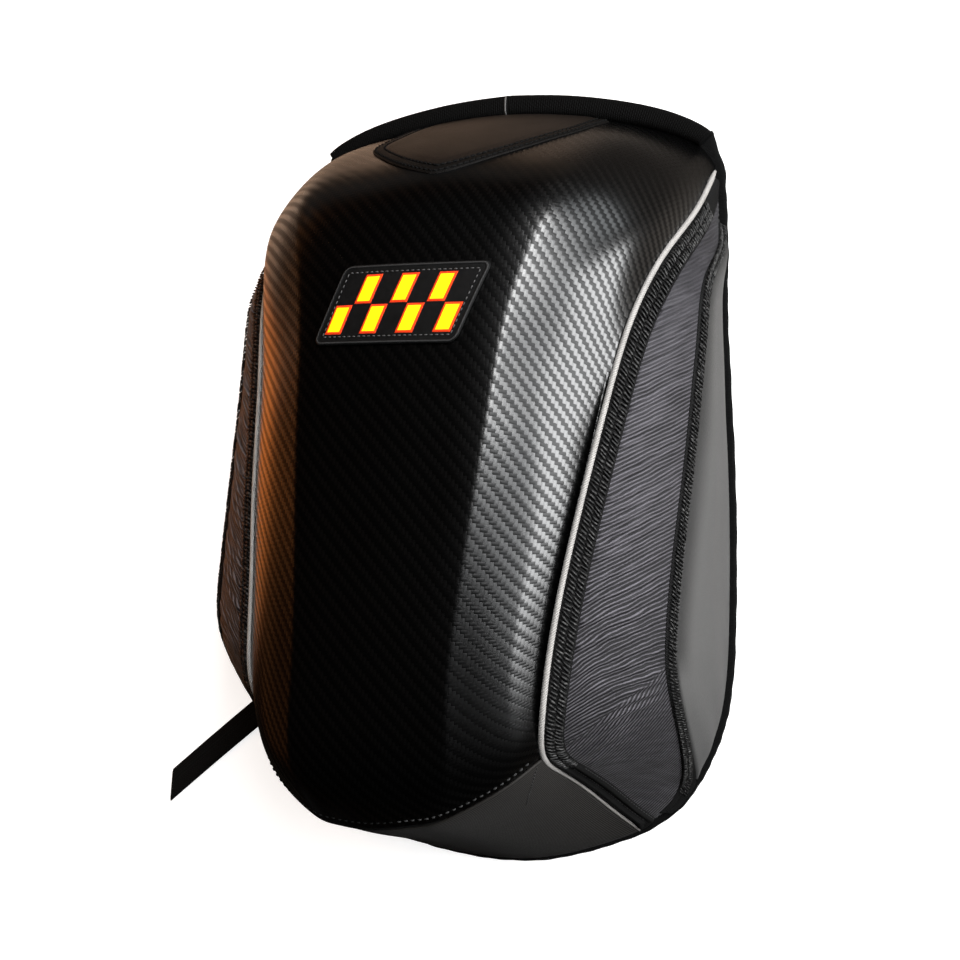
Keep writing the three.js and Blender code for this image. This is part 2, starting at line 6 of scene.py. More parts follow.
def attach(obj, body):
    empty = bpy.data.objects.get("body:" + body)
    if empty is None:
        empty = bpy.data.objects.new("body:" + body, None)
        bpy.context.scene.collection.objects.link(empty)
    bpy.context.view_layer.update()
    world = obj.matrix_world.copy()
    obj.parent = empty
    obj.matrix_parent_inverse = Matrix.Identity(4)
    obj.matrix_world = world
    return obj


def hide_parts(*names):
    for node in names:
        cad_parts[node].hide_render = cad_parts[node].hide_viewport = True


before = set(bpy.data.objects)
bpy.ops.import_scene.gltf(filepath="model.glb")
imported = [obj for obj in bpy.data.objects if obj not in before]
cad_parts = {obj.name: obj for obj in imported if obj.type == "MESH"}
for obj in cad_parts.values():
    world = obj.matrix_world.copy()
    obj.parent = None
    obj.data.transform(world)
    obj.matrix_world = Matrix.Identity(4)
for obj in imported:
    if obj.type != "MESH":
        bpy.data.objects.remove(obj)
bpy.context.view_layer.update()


# Strap tails
# Black polyester webbing, 17 mm wide, woven flat with a firm edge on both sides and cut hot at its end.
# Each tail leaves its adjuster and lies on the surface: the left one outwards, the right one under the back.
MM = 0.001
WEBBING_WIDTH = 17 * MM
WEBBING_THICKNESS = 1.6 * MM
TAIL_LEFT = [
    (-0.1414, -0.1442), (-0.158, -0.159), (-0.182, -0.18), (-0.212, -0.2065), (-0.2435, -0.235),
]
TAIL_RIGHT = [
    (0.122, -0.145), (0.098, -0.164), (0.066, -0.186), (0.03, -0.207), (0.004, -0.221),
]
TAIL_LEFT_SLANT = 0.96
CUT_LENGTH = 26 * MM


def spline(knots):
    """Natural cubic spline through knots 0, 1, 2 ...; the reader takes an array of row numbers.
    A span is the straight line between two knots plus the cubic that carries their bends. With columns,
    each row number reads its own column of the knots."""
    knots = np.asarray(knots, float)
    last = len(knots) - 1
    system = 4 * np.eye(last + 1) + np.eye(last + 1, k=1) + np.eye(last + 1, k=-1)
    system[[0, last]] = np.eye(last + 1)[[0, last]]
    turns = np.zeros_like(knots)
    turns[1:last] = 6 * (knots[:-2] - 2 * knots[1:-1] + knots[2:])
    bends = np.linalg.solve(system, turns.reshape(last + 1, -1)).reshape(knots.shape)

    def read(rows, columns=slice(None)):
        rows = np.asarray(rows, float)
        i = np.clip(np.floor(rows).astype(int), 0, last - 1)
        t = (rows - i)[..., None]
        s = 1 - t
        straight = s * knots[i, columns] + t * knots[i + 1, columns]
        return straight + ((s**3 - s) * bends[i, columns] + (t**3 - t) * bends[i + 1, columns]) / 6

    return read


def unit(vectors):
    """Vectors divided by their lengths."""
    return vectors / np.linalg.norm(vectors, axis=-1, keepdims=True)


def smooth(low, high, value):
    """Smooth step: 0 below low, 1 above high, and 3t^2 - 2t^3 between."""
    t = np.clip((value - low) / (high - low), 0, 1)
    return t * t * (3 - 2 * t)


def run_length(line):
    """Length along a line of points up to each of them."""
    steps = np.linalg.norm(np.diff(line, axis=0), axis=1)
    return np.concatenate([[0], np.cumsum(steps)])


def rounded(part, power):
    """Power of a number that keeps its sign: below 1 it squares off a circle's cosine or sine."""
    return np.sign(part) * np.abs(part) ** power


def uv_grid(across, along):
    """Metres across and along a cloth, for every point of its grid."""
    return np.stack(np.broadcast_arrays(across, along), axis=-1)


def grid_mesh(points, uv, ring=False):
    """Mesh of quads over a grid of points (rows, columns, 3), or over several grids of one size.
    Rows times columns is the outer side. A ring joins the last column to the first, is turned outwards
    from its own middle, and has one face on each end. uv is in metres."""
    grids = points if points.ndim == 4 else points[None]
    copies, rows, columns = grids.shape[:3]
    if ring:
        across = np.roll(grids, -1, axis=2) - np.roll(grids, 1, axis=2)
        faced = np.cross(np.gradient(grids, axis=1), across)
        outward = grids - grids.mean(axis=2, keepdims=True)
        if (faced * outward).sum() < 0:
            grids = grids[:, :, ::-1]
    spans = columns if ring else columns - 1
    i, j = np.meshgrid(np.arange(rows - 1), np.arange(spans), indexing="ij")
    corner_rows = np.stack([i, i + 1, i + 1, i], axis=-1).reshape(-1, 4)
    corner_columns = np.stack([j, j, j + 1, j + 1], axis=-1).reshape(-1, 4)
    starts = np.arange(copies)[:, None, None] * rows * columns
    quads = corner_rows * columns + corner_columns % columns
    faces = (quads + starts).reshape(-1, 4).tolist()
    corner_uv = np.tile(uv[corner_rows, corner_columns].reshape(-1, 2), (copies, 1))
    if ring:
        once_round = np.arange(columns)
        faces += (once_round + starts[:, 0]).tolist()
        faces += ((rows - 1) * columns + once_round[::-1] + starts[:, 0]).tolist()
        corner_uv = np.concatenate([corner_uv, np.zeros((2 * copies * columns, 2))])
    mesh = bpy.data.meshes.new("grid")
    mesh.from_pydata(grids.reshape(-1, 3).tolist(), [], faces)
    mesh.uv_layers.new(name="cloth").data.foreach_set("uv", corner_uv.ravel())
    mesh.shade_smooth()
    return mesh


def piece(name, mesh, finish, slot, *nodes):
    """Object of a mesh, with its finish, riding on the pack; the nodes are the solids it stands for."""
    mesh.name = name
    made = bpy.data.objects.new(name, mesh)
    bpy.context.collection.objects.link(made)
    mesh.materials.append(finish.material)
    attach(made, "root")
    if nodes:
        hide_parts(*nodes)
    return made


class Signal:
    """One value in a finish. An expression on signals and numbers adds its Math nodes."""

    def __init__(self, finish, socket):
        self.finish = finish
        self.socket = socket

    def math(self, operation, first, second=0.0):
        return self.finish.node("Math", {"operation": operation}, {0: first, 1: second})

    def __add__(self, other):
        return self.math("ADD", self, other)

    def __radd__(self, other):
        return self.math("ADD", other, self)

    def __sub__(self, other):
        return self.math("SUBTRACT", self, other)

    def __rsub__(self, other):
        return self.math("SUBTRACT", other, self)

    def __mul__(self, other):
        return self.math("MULTIPLY", self, other)

    def __rmul__(self, other):
        return self.math("MULTIPLY", other, self)

    def __truediv__(self, other):
        return self.math("DIVIDE", self, other)

    def __mod__(self, other):
        return self.math("FLOORED_MODULO", self, other)

    def __lt__(self, other):
        return self.math("LESS_THAN", self, other)

    def __abs__(self):
        return self.math("ABSOLUTE", self)

    def floor(self):
        return self.math("FLOOR", self)

    def fraction(self):
        return self.math("FRACT", self)

    def root(self):
        return self.math("SQRT", self)

    def lower(self, other):
        return self.math("MINIMUM", self, other)

    def higher(self, other):
        return self.math("MAXIMUM", self, other)

    def wave(self):
        """Sine of so many turns, from 0 to 1."""
        return self.math("SINE", self * (2 * np.pi)) * 0.5 + 0.5

    def step(self, low, high):
        """Smooth step from 0 at low to 1 at high."""
        settings = {"interpolation_type": "SMOOTHSTEP"}
        return self.finish.node("MapRange", settings, {"Value": self, "From Min": low, "From Max": high})

    def output(self, number):
        """Another output of the same node."""
        return Signal(self.finish, self.socket.node.outputs[number])


class Finish:
    """A material: the constants of its shader, and the nodes that vary over the surface."""

    def __init__(self, name, constants):
        self.material = bpy.data.materials.new(name)
        self.material.use_nodes = True
        self.tree = self.material.node_tree
        self.shader = self.tree.nodes["Principled BSDF"]
        self.feed(self.shader, constants)

    def feed(self, node, sockets):
        for key, value in sockets.items():
            if isinstance(value, Signal):
                self.tree.links.new(value.socket, node.inputs[key])
            else:
                node.inputs[key].default_value = value

    def node(self, kind, settings, sockets, output=0):
        """A node of a kind: its settings first, then the values or links of its sockets."""
        made = self.tree.nodes.new("ShaderNode" + kind)
        for key, value in settings.items():
            setattr(made, key, value)
        self.feed(made, sockets)
        return Signal(self, made.outputs[output])

    def cloth_mm(self):
        """Millimetres across and along the piece's own cloth."""
        place = self.node("SeparateXYZ", {}, {0: self.node("TexCoord", {}, {}, output=2)})
        return place * 1000, place.output(1) * 1000

    def body_mm(self):
        """Millimetres along x, y and z of the pack."""
        place = self.node("SeparateXYZ", {}, {0: self.node("TexCoord", {}, {}, output=3)})
        return place * 1000, place.output(1) * 1000, place.output(2) * 1000

    def noise(self, size, detail):
        """Soft noise from 0 to 1 over the object, with spots of about the size, in metres."""
        place = self.node("TexCoord", {}, {}, output=3)
        return self.node("TexNoise", {}, {"Vector": place, "Scale": 1 / size, "Detail": detail})

    def mix(self, share, first, second):
        """Colour between two colours by a share."""
        return self.node("Mix", {"data_type": "RGBA"}, {0: share, 6: first, 7: second}, output=2)

    def bump(self, height, depth):
        """Normal of a relief: a height from 0 to 1 that is a depth in metres high."""
        return self.node("Bump", {}, {"Height": height, "Distance": depth, "Strength": 1.0})

    def surface(self, sockets):
        self.feed(self.shader, sockets)


def grey(value, warmth=0.0):
    """Colour of one brightness; warmth moves it from blue to brown."""
    return (value * (1 + warmth), value, value * (1 - warmth), 1.0)


webbing_finish = Finish("webbing", {"Specular IOR Level": 0.07, "Sheen Weight": 0.01, "Sheen Roughness": 0.4})
across, along = webbing_finish.cloth_mm()
# Pairs of warp threads run along the strap, and each passes over the weft half a step after its neighbour.
warp_place = across / 1.05
warp_crown = 1 - abs(warp_place.fraction() * 2 - 1)
weft_step = (along / 1.9 + warp_place.floor() * 0.5).wave()
weave = warp_crown * (0.35 + weft_step * 0.65)
fluff = webbing_finish.noise(0.0012, 3.0)
webbing_finish.surface({
    "Base Color": webbing_finish.mix(weave * 0.7 + fluff * 0.3, grey(0.0015), grey(0.009)),
    "Roughness": 0.62 + fluff * 0.25,
    "Normal": webbing_finish.bump(weave + fluff * 0.25, 0.00035),
})


def webbing_grid(middle, slant=0.0):
    """Flat webbing along a line of middle points. Once round its section, aside is the cosine's 0.6th power
    and the height is one less aside's tenth power, above and below. Slant shears the last end."""
    turn = np.linspace(0, 2 * np.pi, 33)
    aside = rounded(np.cos(turn), 0.6)
    height = np.sign(np.sin(turn)) * (1 - aside**10)
    way = unit(np.gradient(middle, axis=0))
    square = np.stack([-way[:, 1], way[:, 0], 0 * way[:, 0]], axis=1)
    length = run_length(middle)
    shear = slant * smooth(length[-1] - CUT_LENGTH, length[-1], length)
    spread = square + way * shear[:, None]
    rise = np.array([0, 0, WEBBING_THICKNESS / 2])
    points = (middle[:, None]
              + spread[:, None] * (aside * WEBBING_WIDTH / 2)[:, None]
              + rise * height[:, None])
    section = np.stack([aside * WEBBING_WIDTH / 2, height * WEBBING_THICKNESS / 2], axis=1)
    return points[:, :-1], uv_grid(run_length(section), length[:, None])


for side, route, slant in (("left", TAIL_LEFT, TAIL_LEFT_SLANT), ("right", TAIL_RIGHT, 0.0)):
    level = np.full((len(route), 1), WEBBING_THICKNESS / 2)
    tail_line = spline(np.hstack([route, level]))(np.linspace(0, len(route) - 1, 61))
    tail_mesh = grid_mesh(*webbing_grid(tail_line, slant), ring=True)
    tail = piece("tail_webbing_" + side, tail_mesh, webbing_finish, "webbing", "strap_tail_" + side)


# Shoulder straps
# Foam pads in black air mesh with a thin sewn rim, pressed flat between the back and the surface.
# At the lower end of each, webbing runs to a moulded nylon adjuster, which the tail leaves.
PAD = spline(np.array([
    (58, 198, 58), (62, 150, 62), (70, 95, 62), (80, 35, 58), (90, -25, 52), (97, -75, 44), (100, -94, 40),
]) * MM)
PAD_LAST = 6
PAD_THICKNESS = 9 * MM
PAD_RIM = 3.4 * MM
PAD_RADIUS = 20 * MM
PAD_CHANNELS = [1.2, 2.4, 3.6, 4.8]
LEFT = np.array([-1, 1, 1])


def pad_grid(rows, sides):
    """Pad along its middle line. Its thickness falls to the rim's over the outer fifth of its width, dips in
    the sewn channels, and closes in a quarter ellipse at both ends."""
    row = np.linspace(0, PAD_LAST, rows)
    x, y, width = PAD(row).T
    way = unit(np.gradient(np.stack([x, y, 0 * x], axis=1), axis=0))
    square = np.stack([-way[:, 1], way[:, 0], 0 * x], axis=1)
    end = np.minimum(row, PAD_LAST - row) / 0.3
    close = np.sqrt(1 - (1 - np.clip(end, 0.05, 1)) ** 2)
    channel = sum(np.exp(-((row - place) / 0.06) ** 2) for place in PAD_CHANNELS)
    turn = np.linspace(0, 2 * np.pi, sides + 1)
    aside = rounded(np.cos(turn), 0.55)
    rim = smooth(0.7, 0.92, np.abs(aside)) * np.ones((rows, 1))
    body = PAD_THICKNESS * (1 - 0.3 * channel[:, None] * (1 - aside**4))
    thick = (body * (1 - rim) + PAD_RIM * rim) * np.sqrt(close)[:, None]
    lift = np.sign(np.sin(turn)) * np.minimum(np.abs(np.sin(turn)) * 3, 1) * thick / 2
    points = (np.stack([x, y, 0 * x + PAD_THICKNESS / 2], axis=1)[:, None]
              + square[:, None] * (aside[None, :] * (width * close)[:, None] / 2)[..., None])
    points[..., 2] += lift
    return points[:, :-1], uv_grid(turn * PAD_RADIUS, run_length(points[:, 0])[:, None])


air_mesh = Finish("mesh_padding", {"Specular IOR Level": 0.25, "Sheen Weight": 0.2, "Sheen Roughness": 0.5})
spot = air_mesh.node("TexCoord", {}, {}, output=3)
cells = air_mesh.node("TexVoronoi", {"feature": "F1"}, {"Vector": spot, "Scale": 420.0, "Randomness": 0.35})
hole = cells.step(0.25, 0.55)
lint = air_mesh.noise(0.004, 3.0)
air_mesh.surface({
    "Base Color": air_mesh.mix(hole * 0.8 + lint * 0.2, grey(0.002), grey(0.02)),
    "Roughness": 0.7 + lint * 0.2,
    "Normal": air_mesh.bump(hole, 0.0008),
})
pad_points, pad_uv = pad_grid(110, 44)
for side, mirror in (("right", 1), ("left", LEFT)):
    pad_mesh = grid_mesh(pad_points * mirror, pad_uv, ring=True)
    pad = piece("pad_cover_" + side, pad_mesh, air_mesh, "mesh_padding", "shoulder_pad_" + side)

WEBBING_START = np.array([103, -98, 3.8]) * MM
ADJUSTER = np.array([131, -134, 4.5]) * MM
ADJUSTER_LENGTH = 24 * MM
ADJUSTER_WIDTH = 26 * MM
ADJUSTER_HALF_HEIGHT = 4.4 * MM
GRIP_DEPTH = 1.1 * MM
GRIP_PITCH = 7 * MM
strap_way = unit((ADJUSTER - WEBBING_START) * (1, 1, 0))
strap_square = np.array([-strap_way[1], strap_way[0], 0])
webbing_line = WEBBING_START + strap_way * np.linspace(-0.004, 0.033, 20)[:, None]
webbing_points, webbing_uv = webbing_grid(webbing_line)


def adjuster_grid():
    """Moulded ladder adjuster: in the plane along the strap an oval with three grip waves on its top, carried
    across the strap and drawn in at both sides."""
    turn = np.linspace(0, 2 * np.pi, 65)
    run = rounded(np.cos(turn), 0.7) * ADJUSTER_LENGTH / 2
    high = rounded(np.sin(turn), 0.45) * ADJUSTER_HALF_HEIGHT
    grip = GRIP_DEPTH * (0.5 - 0.5 * np.cos(run * 2 * np.pi / GRIP_PITCH))
    high -= np.where(high > 0, grip, 0)
    aside = np.linspace(-1, 1, 25)
    close = (1 - np.abs(aside) ** 9 * 0.3)[:, None]
    points = (ADJUSTER + strap_square * (aside[:, None, None] * ADJUSTER_WIDTH / 2)
              + strap_way * (run * close)[..., None] + np.array([0, 0, 1]) * (high * close)[..., None])
    return points[:, :-1], uv_grid(run, aside[:, None] * ADJUSTER_WIDTH / 2)


nylon = Finish("nylon", {"Specular IOR Level": 0.45})
grain = nylon.noise(0.0006, 2.0)
rub = nylon.noise(0.012, 4.0)
nylon.surface({
    "Base Color": nylon.mix(rub, grey(0.008), grey(0.016)),
    "Roughness": 0.38 + rub * 0.2,
    "Normal": nylon.bump(grain, 0.00006),
})
adjuster_points, adjuster_uv = adjuster_grid()
for side, mirror in (("right", 1), ("left", LEFT)):
    lower_mesh = grid_mesh(webbing_points * mirror, webbing_uv, ring=True)
    piece("lower_webbing_" + side, lower_mesh, webbing_finish, "webbing", "webbing_" + side)
    adjuster_mesh = grid_mesh(adjuster_points * mirror, adjuster_uv, ring=True)
    piece("ladder_adjuster_" + side, adjuster_mesh, nylon, "nylon", "adjuster_" + side)


# Back panel
# Foam in air mesh behind the load, with a ventilation channel down the middle and two across it.
# It is sewn into the binding and the collar all round.
REAR_EDGE = spline(np.array([
    (131, 205), (137, 184), (140, 161), (142, 138), (143, 114), (146, 82), (150, 46), (154, 8), (157, -30),
    (159, -66), (160, -98), (159, -123), (156, -141), (151, -157), (144, -173), (132, -191), (112, -207.5),
    (88, -220), (61, -231), (31, -238), (0, -240),
]) * MM)
BOTTOM_ROW = 20
COLLAR = spline(np.array([
    (0, 240, 13.4), (36, 237.7, 13.2), (72, 232, 13), (102, 224, 12.5), (122, 215, 11.5), (130, 209, 10.5),
]) * MM)
COLLAR_LAST = 5
BACK_RIM = 5.7 * MM
BACK_INSET = [9, 5, 3, 1, 0, 0, 0, 2, 6]
BACK_HEIGHT = [9.3, 9.9, 10.8, 12, 13.5, 15, 17, 18.4, 19]
BACK_RINGS = 25
MIDDLE_DEPTH, MIDDLE_HALF = 4.5 * MM, 15 * MM
CROSS_DEPTH, CROSS_HALF = 3.5 * MM, 9 * MM
CROSS_PLACES = [60 * MM, -70 * MM]


def edge_point(row, inset, height):
    """Place on the rear edge, moved in from its outer line. Rows 0 to 20 run down the right side to the
    middle of the bottom, and rows 20 to 40 run up the left side as its mirror."""
    row, inset, height = np.broadcast_arrays(row, inset, height)
    near = np.minimum(row, 2 * BOTTOM_ROW - row)
    way = REAR_EDGE(np.minimum(near + 0.05, BOTTOM_ROW)) - REAR_EDGE(near - 0.05)
    outward = unit(np.stack([-way[..., 1], way[..., 0]], axis=-1))
    flat = REAR_EDGE(near) - outward * inset[..., None]
    side = np.where(row > BOTTOM_ROW, -1, 1)
    return np.stack([flat[..., 0] * side, flat[..., 1], height], axis=-1)


def back_grid():
    """Outline under the collar and inside the binding, drawn in by the insets at the heights of the edge, and
    both faces closed by rings that shrink to the middle. Channels rise into the face that the wearer has."""
    top = COLLAR(np.linspace(0.6, 3.9, 30))
    top = np.stack([top[:, 0], top[:, 1] - top[:, 2] - 1.8 * MM], axis=1)
    down = edge_point(np.linspace(1.2, 19.5, 90), BACK_RIM, 0)[:, :2]
    right = np.concatenate([top, down])
    outline = np.concatenate([right, right[::-1] * (-1, 1)])
    reach = np.linalg.norm(outline, axis=1, keepdims=True)
    shrink = np.linspace(0.04, 1, BACK_RINGS + 1)[:-1, None, None]
    drawn_in = np.stack([outline * (1 - inset * MM / reach) for inset in BACK_INSET])
    flat = np.concatenate([drawn_in[0] * shrink, drawn_in, drawn_in[-1] * shrink[::-1]])
    height = np.pad(BACK_HEIGHT, BACK_RINGS, mode="edge") * MM
    points = np.concatenate([flat, np.broadcast_to(height[:, None, None], flat.shape[:2] + (1,))], axis=2)
    x, y = np.moveaxis(flat[:BACK_RINGS], -1, 0)
    channel = MIDDLE_DEPTH * np.exp(-((x / MIDDLE_HALF) ** 4))
    for place in CROSS_PLACES:
        channel = np.maximum(channel, CROSS_DEPTH * np.exp(-(((y - place) / CROSS_HALF) ** 4)))
    points[:BACK_RINGS, :, 2] += channel * smooth(1, 0.9, np.linspace(0, 1, BACK_RINGS))[:, None]
    uv = np.concatenate([points[..., :2], points[:, :1, :2]], axis=1)
    return points, uv


back_mesh = grid_mesh(*back_grid(), ring=True)
back_cover = piece("back_cover", back_mesh, air_mesh, "mesh_padding", "back_panel")


# Edge binding
# Black woven tape folded over the rear edge from one end of the collar to the other, with one row of
# stitches near its inner border. Under the collar's ends it is gathered into a broad fold.
BINDING_WIDTH = 6 * MM
BINDING_LOW = 12.5 * MM
BINDING_HIGH = 17.5 * MM
BINDING_FIRST = -0.3
BINDING_GATHER = 9 * MM
BINDING_SEAM = 4.6 * MM
BINDING_STITCH = (3.2 * MM, 2.3 * MM, 0.28 * MM)


def binding_grid(rows, sides):
    """Rounded box section, the square root of an ellipse's cosine and sine, carried along the rear edge. It
    is wider and thicker by the gather at both ends, and a bump stands out where the gather stops."""
    row = np.linspace(BINDING_FIRST, 2 * BOTTOM_ROW - BINDING_FIRST, rows)[:, None]
    near = np.minimum(row, 2 * BOTTOM_ROW - row)
    gather = 1 - smooth(0.3, 1.5, near)
    turn = np.linspace(0, 2 * np.pi, sides + 1)[None, :]
    inset = (BINDING_WIDTH + BINDING_GATHER * gather) / 2 * (1 - rounded(np.cos(turn), 0.5))
    middle = (BINDING_LOW + BINDING_HIGH) / 2 + 1.5 * MM * gather
    half = (BINDING_HIGH - BINDING_LOW) / 2 + 1.5 * MM * gather
    height = middle + half * rounded(np.sin(turn), 0.5)
    ripple = 0.25 * MM * np.sin(row * 9) * np.sin(row * 3.7) - 1.3 * MM * np.exp(-(((near - 0.8) / 0.3) ** 2))
    points = edge_point(row, inset + ripple, height)
    section = np.stack([inset[rows // 4], height[rows // 4]], axis=1)
    return points[:, :-1], uv_grid(run_length(section), run_length(points[:, 0])[:, None])


def woven_tape(name, pitch, dark, pale):
    """Tape of fine ribs across its run: every rib is a row of beads, each half a bead off the next row."""
    tape = Finish(name, {"Specular IOR Level": 0.04, "Sheen Weight": 0.005, "Sheen Roughness": 0.45})
    across, along = tape.cloth_mm()
    rib = along / pitch
    bead = (across / (pitch * 0.8) + rib.floor() * 0.5).wave()
    crown = 1 - abs(rib.fraction() * 2 - 1)
    relief = crown * (0.4 + bead * 0.6)
    fluff = tape.noise(0.0025, 3.0)
    tape.surface({
        "Base Color": tape.mix(relief * 0.6 + fluff * 0.4, grey(dark), grey(pale)),
        "Roughness": 0.6 + fluff * 0.3,
        "Normal": tape.bump(relief + fluff * 0.3, pitch * 0.00035),
    })
    return tape


def read_along(line, at, values):
    """Vectors given at the points of a line, read at distances along it."""
    run = run_length(line)
    return np.stack([np.interp(at, run, part) for part in values.T], axis=1)


def placed(place, axes, parts):
    """Small grids at many places: at each, the three axes there times the grid's own parts, summed."""
    points = place[:, None, None]
    for axis, part in zip(axes, parts):
        points = points + axis[:, None, None] * part[..., None]
    return points


def stitch_grids(line, outward, pitch, length, radius):
    """Stitches laid at even steps of about the pitch along a line: each is a six-sided thread of a length
    and radius, thickest in the middle, that dips into the cloth at both ends."""
    whole = run_length(line)[-1]
    count = int(whole / pitch)
    at = (np.arange(count) + 0.5) * whole / count
    place = read_along(line, at, line)
    way = unit(read_along(line, at, np.gradient(line, axis=0)))
    up = read_along(line, at, np.broadcast_to(outward, line.shape))
    up = unit(up - way * (up * way).sum(axis=1, keepdims=True))
    square = np.cross(up, way)
    run = np.array([-0.5, -0.36, 0, 0.36, 0.5]) * length
    thick = np.array([0.35, 0.9, 1, 0.9, 0.35]) * radius
    rise = np.array([-0.7, 0.1, 0.4, 0.1, -0.7]) * radius
    turn = np.linspace(0, 2 * np.pi, 6, endpoint=False)
    local_run = np.broadcast_to(run[:, None], (5, 6))
    local_side = thick[:, None] * np.cos(turn)
    local_up = rise[:, None] + thick[:, None] * np.sin(turn)
    return placed(place, (way, square, up), (local_run, local_side, local_up))


STITCH_UV = np.stack(np.meshgrid(np.arange(7) * 0.0002, np.arange(5) * 0.0005), axis=-1)


def thread(name, colour, roughness, gloss=0.4):
    """Twisted sewing thread, with small flecks on its round strands."""
    strand = Finish(name, {"Specular IOR Level": gloss})
    fleck = strand.noise(0.0009, 2.0)
    strand.surface({
        "Base Color": strand.mix(fleck, grey(colour * 0.7), grey(colour * 1.3)),
        "Roughness": roughness + fleck * 0.2,
    })
    return strand


def sewn(name, seams, strand, slot):
    """Rows of stitches as one piece, which replaces no solid."""
    piece(name, grid_mesh(np.concatenate(seams), STITCH_UV, ring=True), strand, slot)


binding_tape = woven_tape("woven_tape", 0.9, 0.0008, 0.005)
black_thread = thread("black_thread", 0.012, 0.45)
pale_thread = thread("pale_thread", 0.07, 0.6)
binding_mesh = grid_mesh(*binding_grid(700, 24), ring=True)
piece("binding", binding_mesh, binding_tape, "woven_tape", "edge_binding")
seam_rows = np.linspace(0.3, 2 * BOTTOM_ROW - 0.3, 900)
binding_seam = edge_point(seam_rows, BINDING_SEAM, BINDING_HIGH - 0.1 * MM)
binding_stitches = stitch_grids(binding_seam, np.array([0, 0, 1.0]), *BINDING_STITCH)
sewn("binding_stitches", [binding_stitches], black_thread, "woven_tape")


# Collar band
# Thick black woven band along the top of the back, folded round the edge and sewn to it.
# Its two lengths meet in a pale seam near the middle of the neck, and its ends are turned in.
COLLAR_LOW = 11.5 * MM
COLLAR_HIGH = 25 * MM
COLLAR_GIRTH = 42 * MM
COLLAR_SEAM = -3 * MM
COLLAR_STEP = 36 * MM


def collar_grid(place, sides, grow=0.0):
    """Rounded band section, the 0.6th power of an ellipse's cosine and sine, along the neck's line. Places
    run from the left end, -5, to the right end, 5; the last millimetres of each end are turned in."""
    row = np.abs(place)
    side = np.sign(place + 1e-9)
    x, y, width = COLLAR(row).T
    ahead, behind = COLLAR(row + 0.02), COLLAR(row - 0.02)
    way = unit((ahead - behind)[:, :2])
    outward = np.stack([-way[:, 1], way[:, 0]], axis=1)
    close = np.sqrt(1 - (1 - np.clip((COLLAR_LAST - row) / 0.16, 0.02, 1)) ** 2)
    close = 0.78 + 0.22 * close
    turn = np.linspace(0, 2 * np.pi, sides + 1)
    inset = width[:, None] / 2 - (width[:, None] / 2 + grow) * rounded(np.cos(turn), 0.6) * close[:, None]
    half = (COLLAR_HIGH - COLLAR_LOW) / 2
    height = COLLAR_LOW + half + (half + grow) * rounded(np.sin(turn), 0.6) * close[:, None]
    flat = np.stack([x, y], axis=1)[:, None] - outward[:, None] * inset[..., None]
    points = np.concatenate([flat, height[..., None]], axis=2)
    points[..., 0] *= side[:, None]
    around = np.linspace(0, COLLAR_GIRTH, sides + 1)
    return points[:, :-1], uv_grid(around, run_length(points[:, 0])[:, None])


collar_tape = woven_tape("collar_tape", 1.5, 0.0004, 0.003)
collar_mesh = grid_mesh(*collar_grid(np.linspace(-COLLAR_LAST, COLLAR_LAST, 320), 32), ring=True)
piece("collar", collar_mesh, collar_tape, "woven_tape", "collar_band")
seam_place = COLLAR_SEAM / COLLAR_STEP + np.linspace(-0.013, 0.013, 5)
seam_mesh = grid_mesh(*collar_grid(seam_place, 32, 0.2 * MM), ring=True)
piece("collar_seam", seam_mesh, pale_thread, "woven_tape")


# Side walls
# Plain dark grey coated cloth between the rear zip and the binding, drawn tight over the sides.
# The foot of each is sewn into the binding, and its upper edge lies under the zip's tape.
PIPING = spline(np.array([
    (133, 187, 22), (131, 160, 48), (127, 138, 74), (122, 116, 96), (115, 86, 111), (109, 52, 119),
    (104, 16, 126), (99, -22, 133), (94, -62, 138), (91, -98, 141), (89, -126, 139), (86, -146, 126),
    (88, -158, 104), (93, -172, 74), (100, -189, 44), (109.5, -205, 18),
]) * MM)
REAR_ZIP = spline(np.array([
    (133.5, 182, 18.5), (136, 161, 19), (142, 138, 36), (145, 114, 70), (146, 82, 80), (145.5, 48, 83),
    (145, 12, 87), (144, -24, 92), (143.5, -60, 96), (144, -92, 96), (145, -116, 84), (145, -136, 66),
    (143, -154, 46), (138, -170, 27), (129, -187, 19), (110, -204, 18.5),
]) * MM)
FOOT_INSET = 3.5 * MM
FOOT_HEIGHT = 17.8 * MM
SIDE_ROWS = (1.75, 12.9)
SIDE_START = 4.4 * MM
SIDE_BULGE = 4 * MM
REAR_ZIP_WIDTH = 8 * MM
CLOTH_WALL = 1.4 * MM


def arch(t):
    """Parabola that is 0 at 0 and 1, and 1 in the middle."""
    return 4 * t * (1 - t)


def side_point(row, t):
    """Side wall: straight from the rear zip's line to the foot on the binding, bulged out by an arch."""
    row, t = np.broadcast_arrays(row, t)
    foot = edge_point(row + 1, FOOT_INSET, FOOT_HEIGHT)
    place = REAR_ZIP(row) * (1 - t[..., None]) + foot * t[..., None]
    place[..., 0] += SIDE_BULGE * arch(t)
    return place


def normals(points):
    """Unit outer normals of a grid, from the differences along its rows and columns."""
    return unit(np.cross(np.gradient(points, axis=0), np.gradient(points, axis=1)))


def cloth_uv(points):
    """Metres over a sheet: across is the distance from the first column on each row, along the mean run."""
    across = np.cumsum(np.linalg.norm(np.diff(points, axis=1), axis=2), axis=1)
    across = np.concatenate([np.zeros((len(points), 1)), across], axis=1)
    along = np.cumsum(np.linalg.norm(np.diff(points, axis=0), axis=2).mean(axis=1))
    along = np.concatenate([[0], along])
    return uv_grid(across, along[:, None])


def on_left(points):
    """The same sheet on the left side of the pack, with its columns turned so that it still faces out."""
    return (points * LEFT)[:, ::-1]


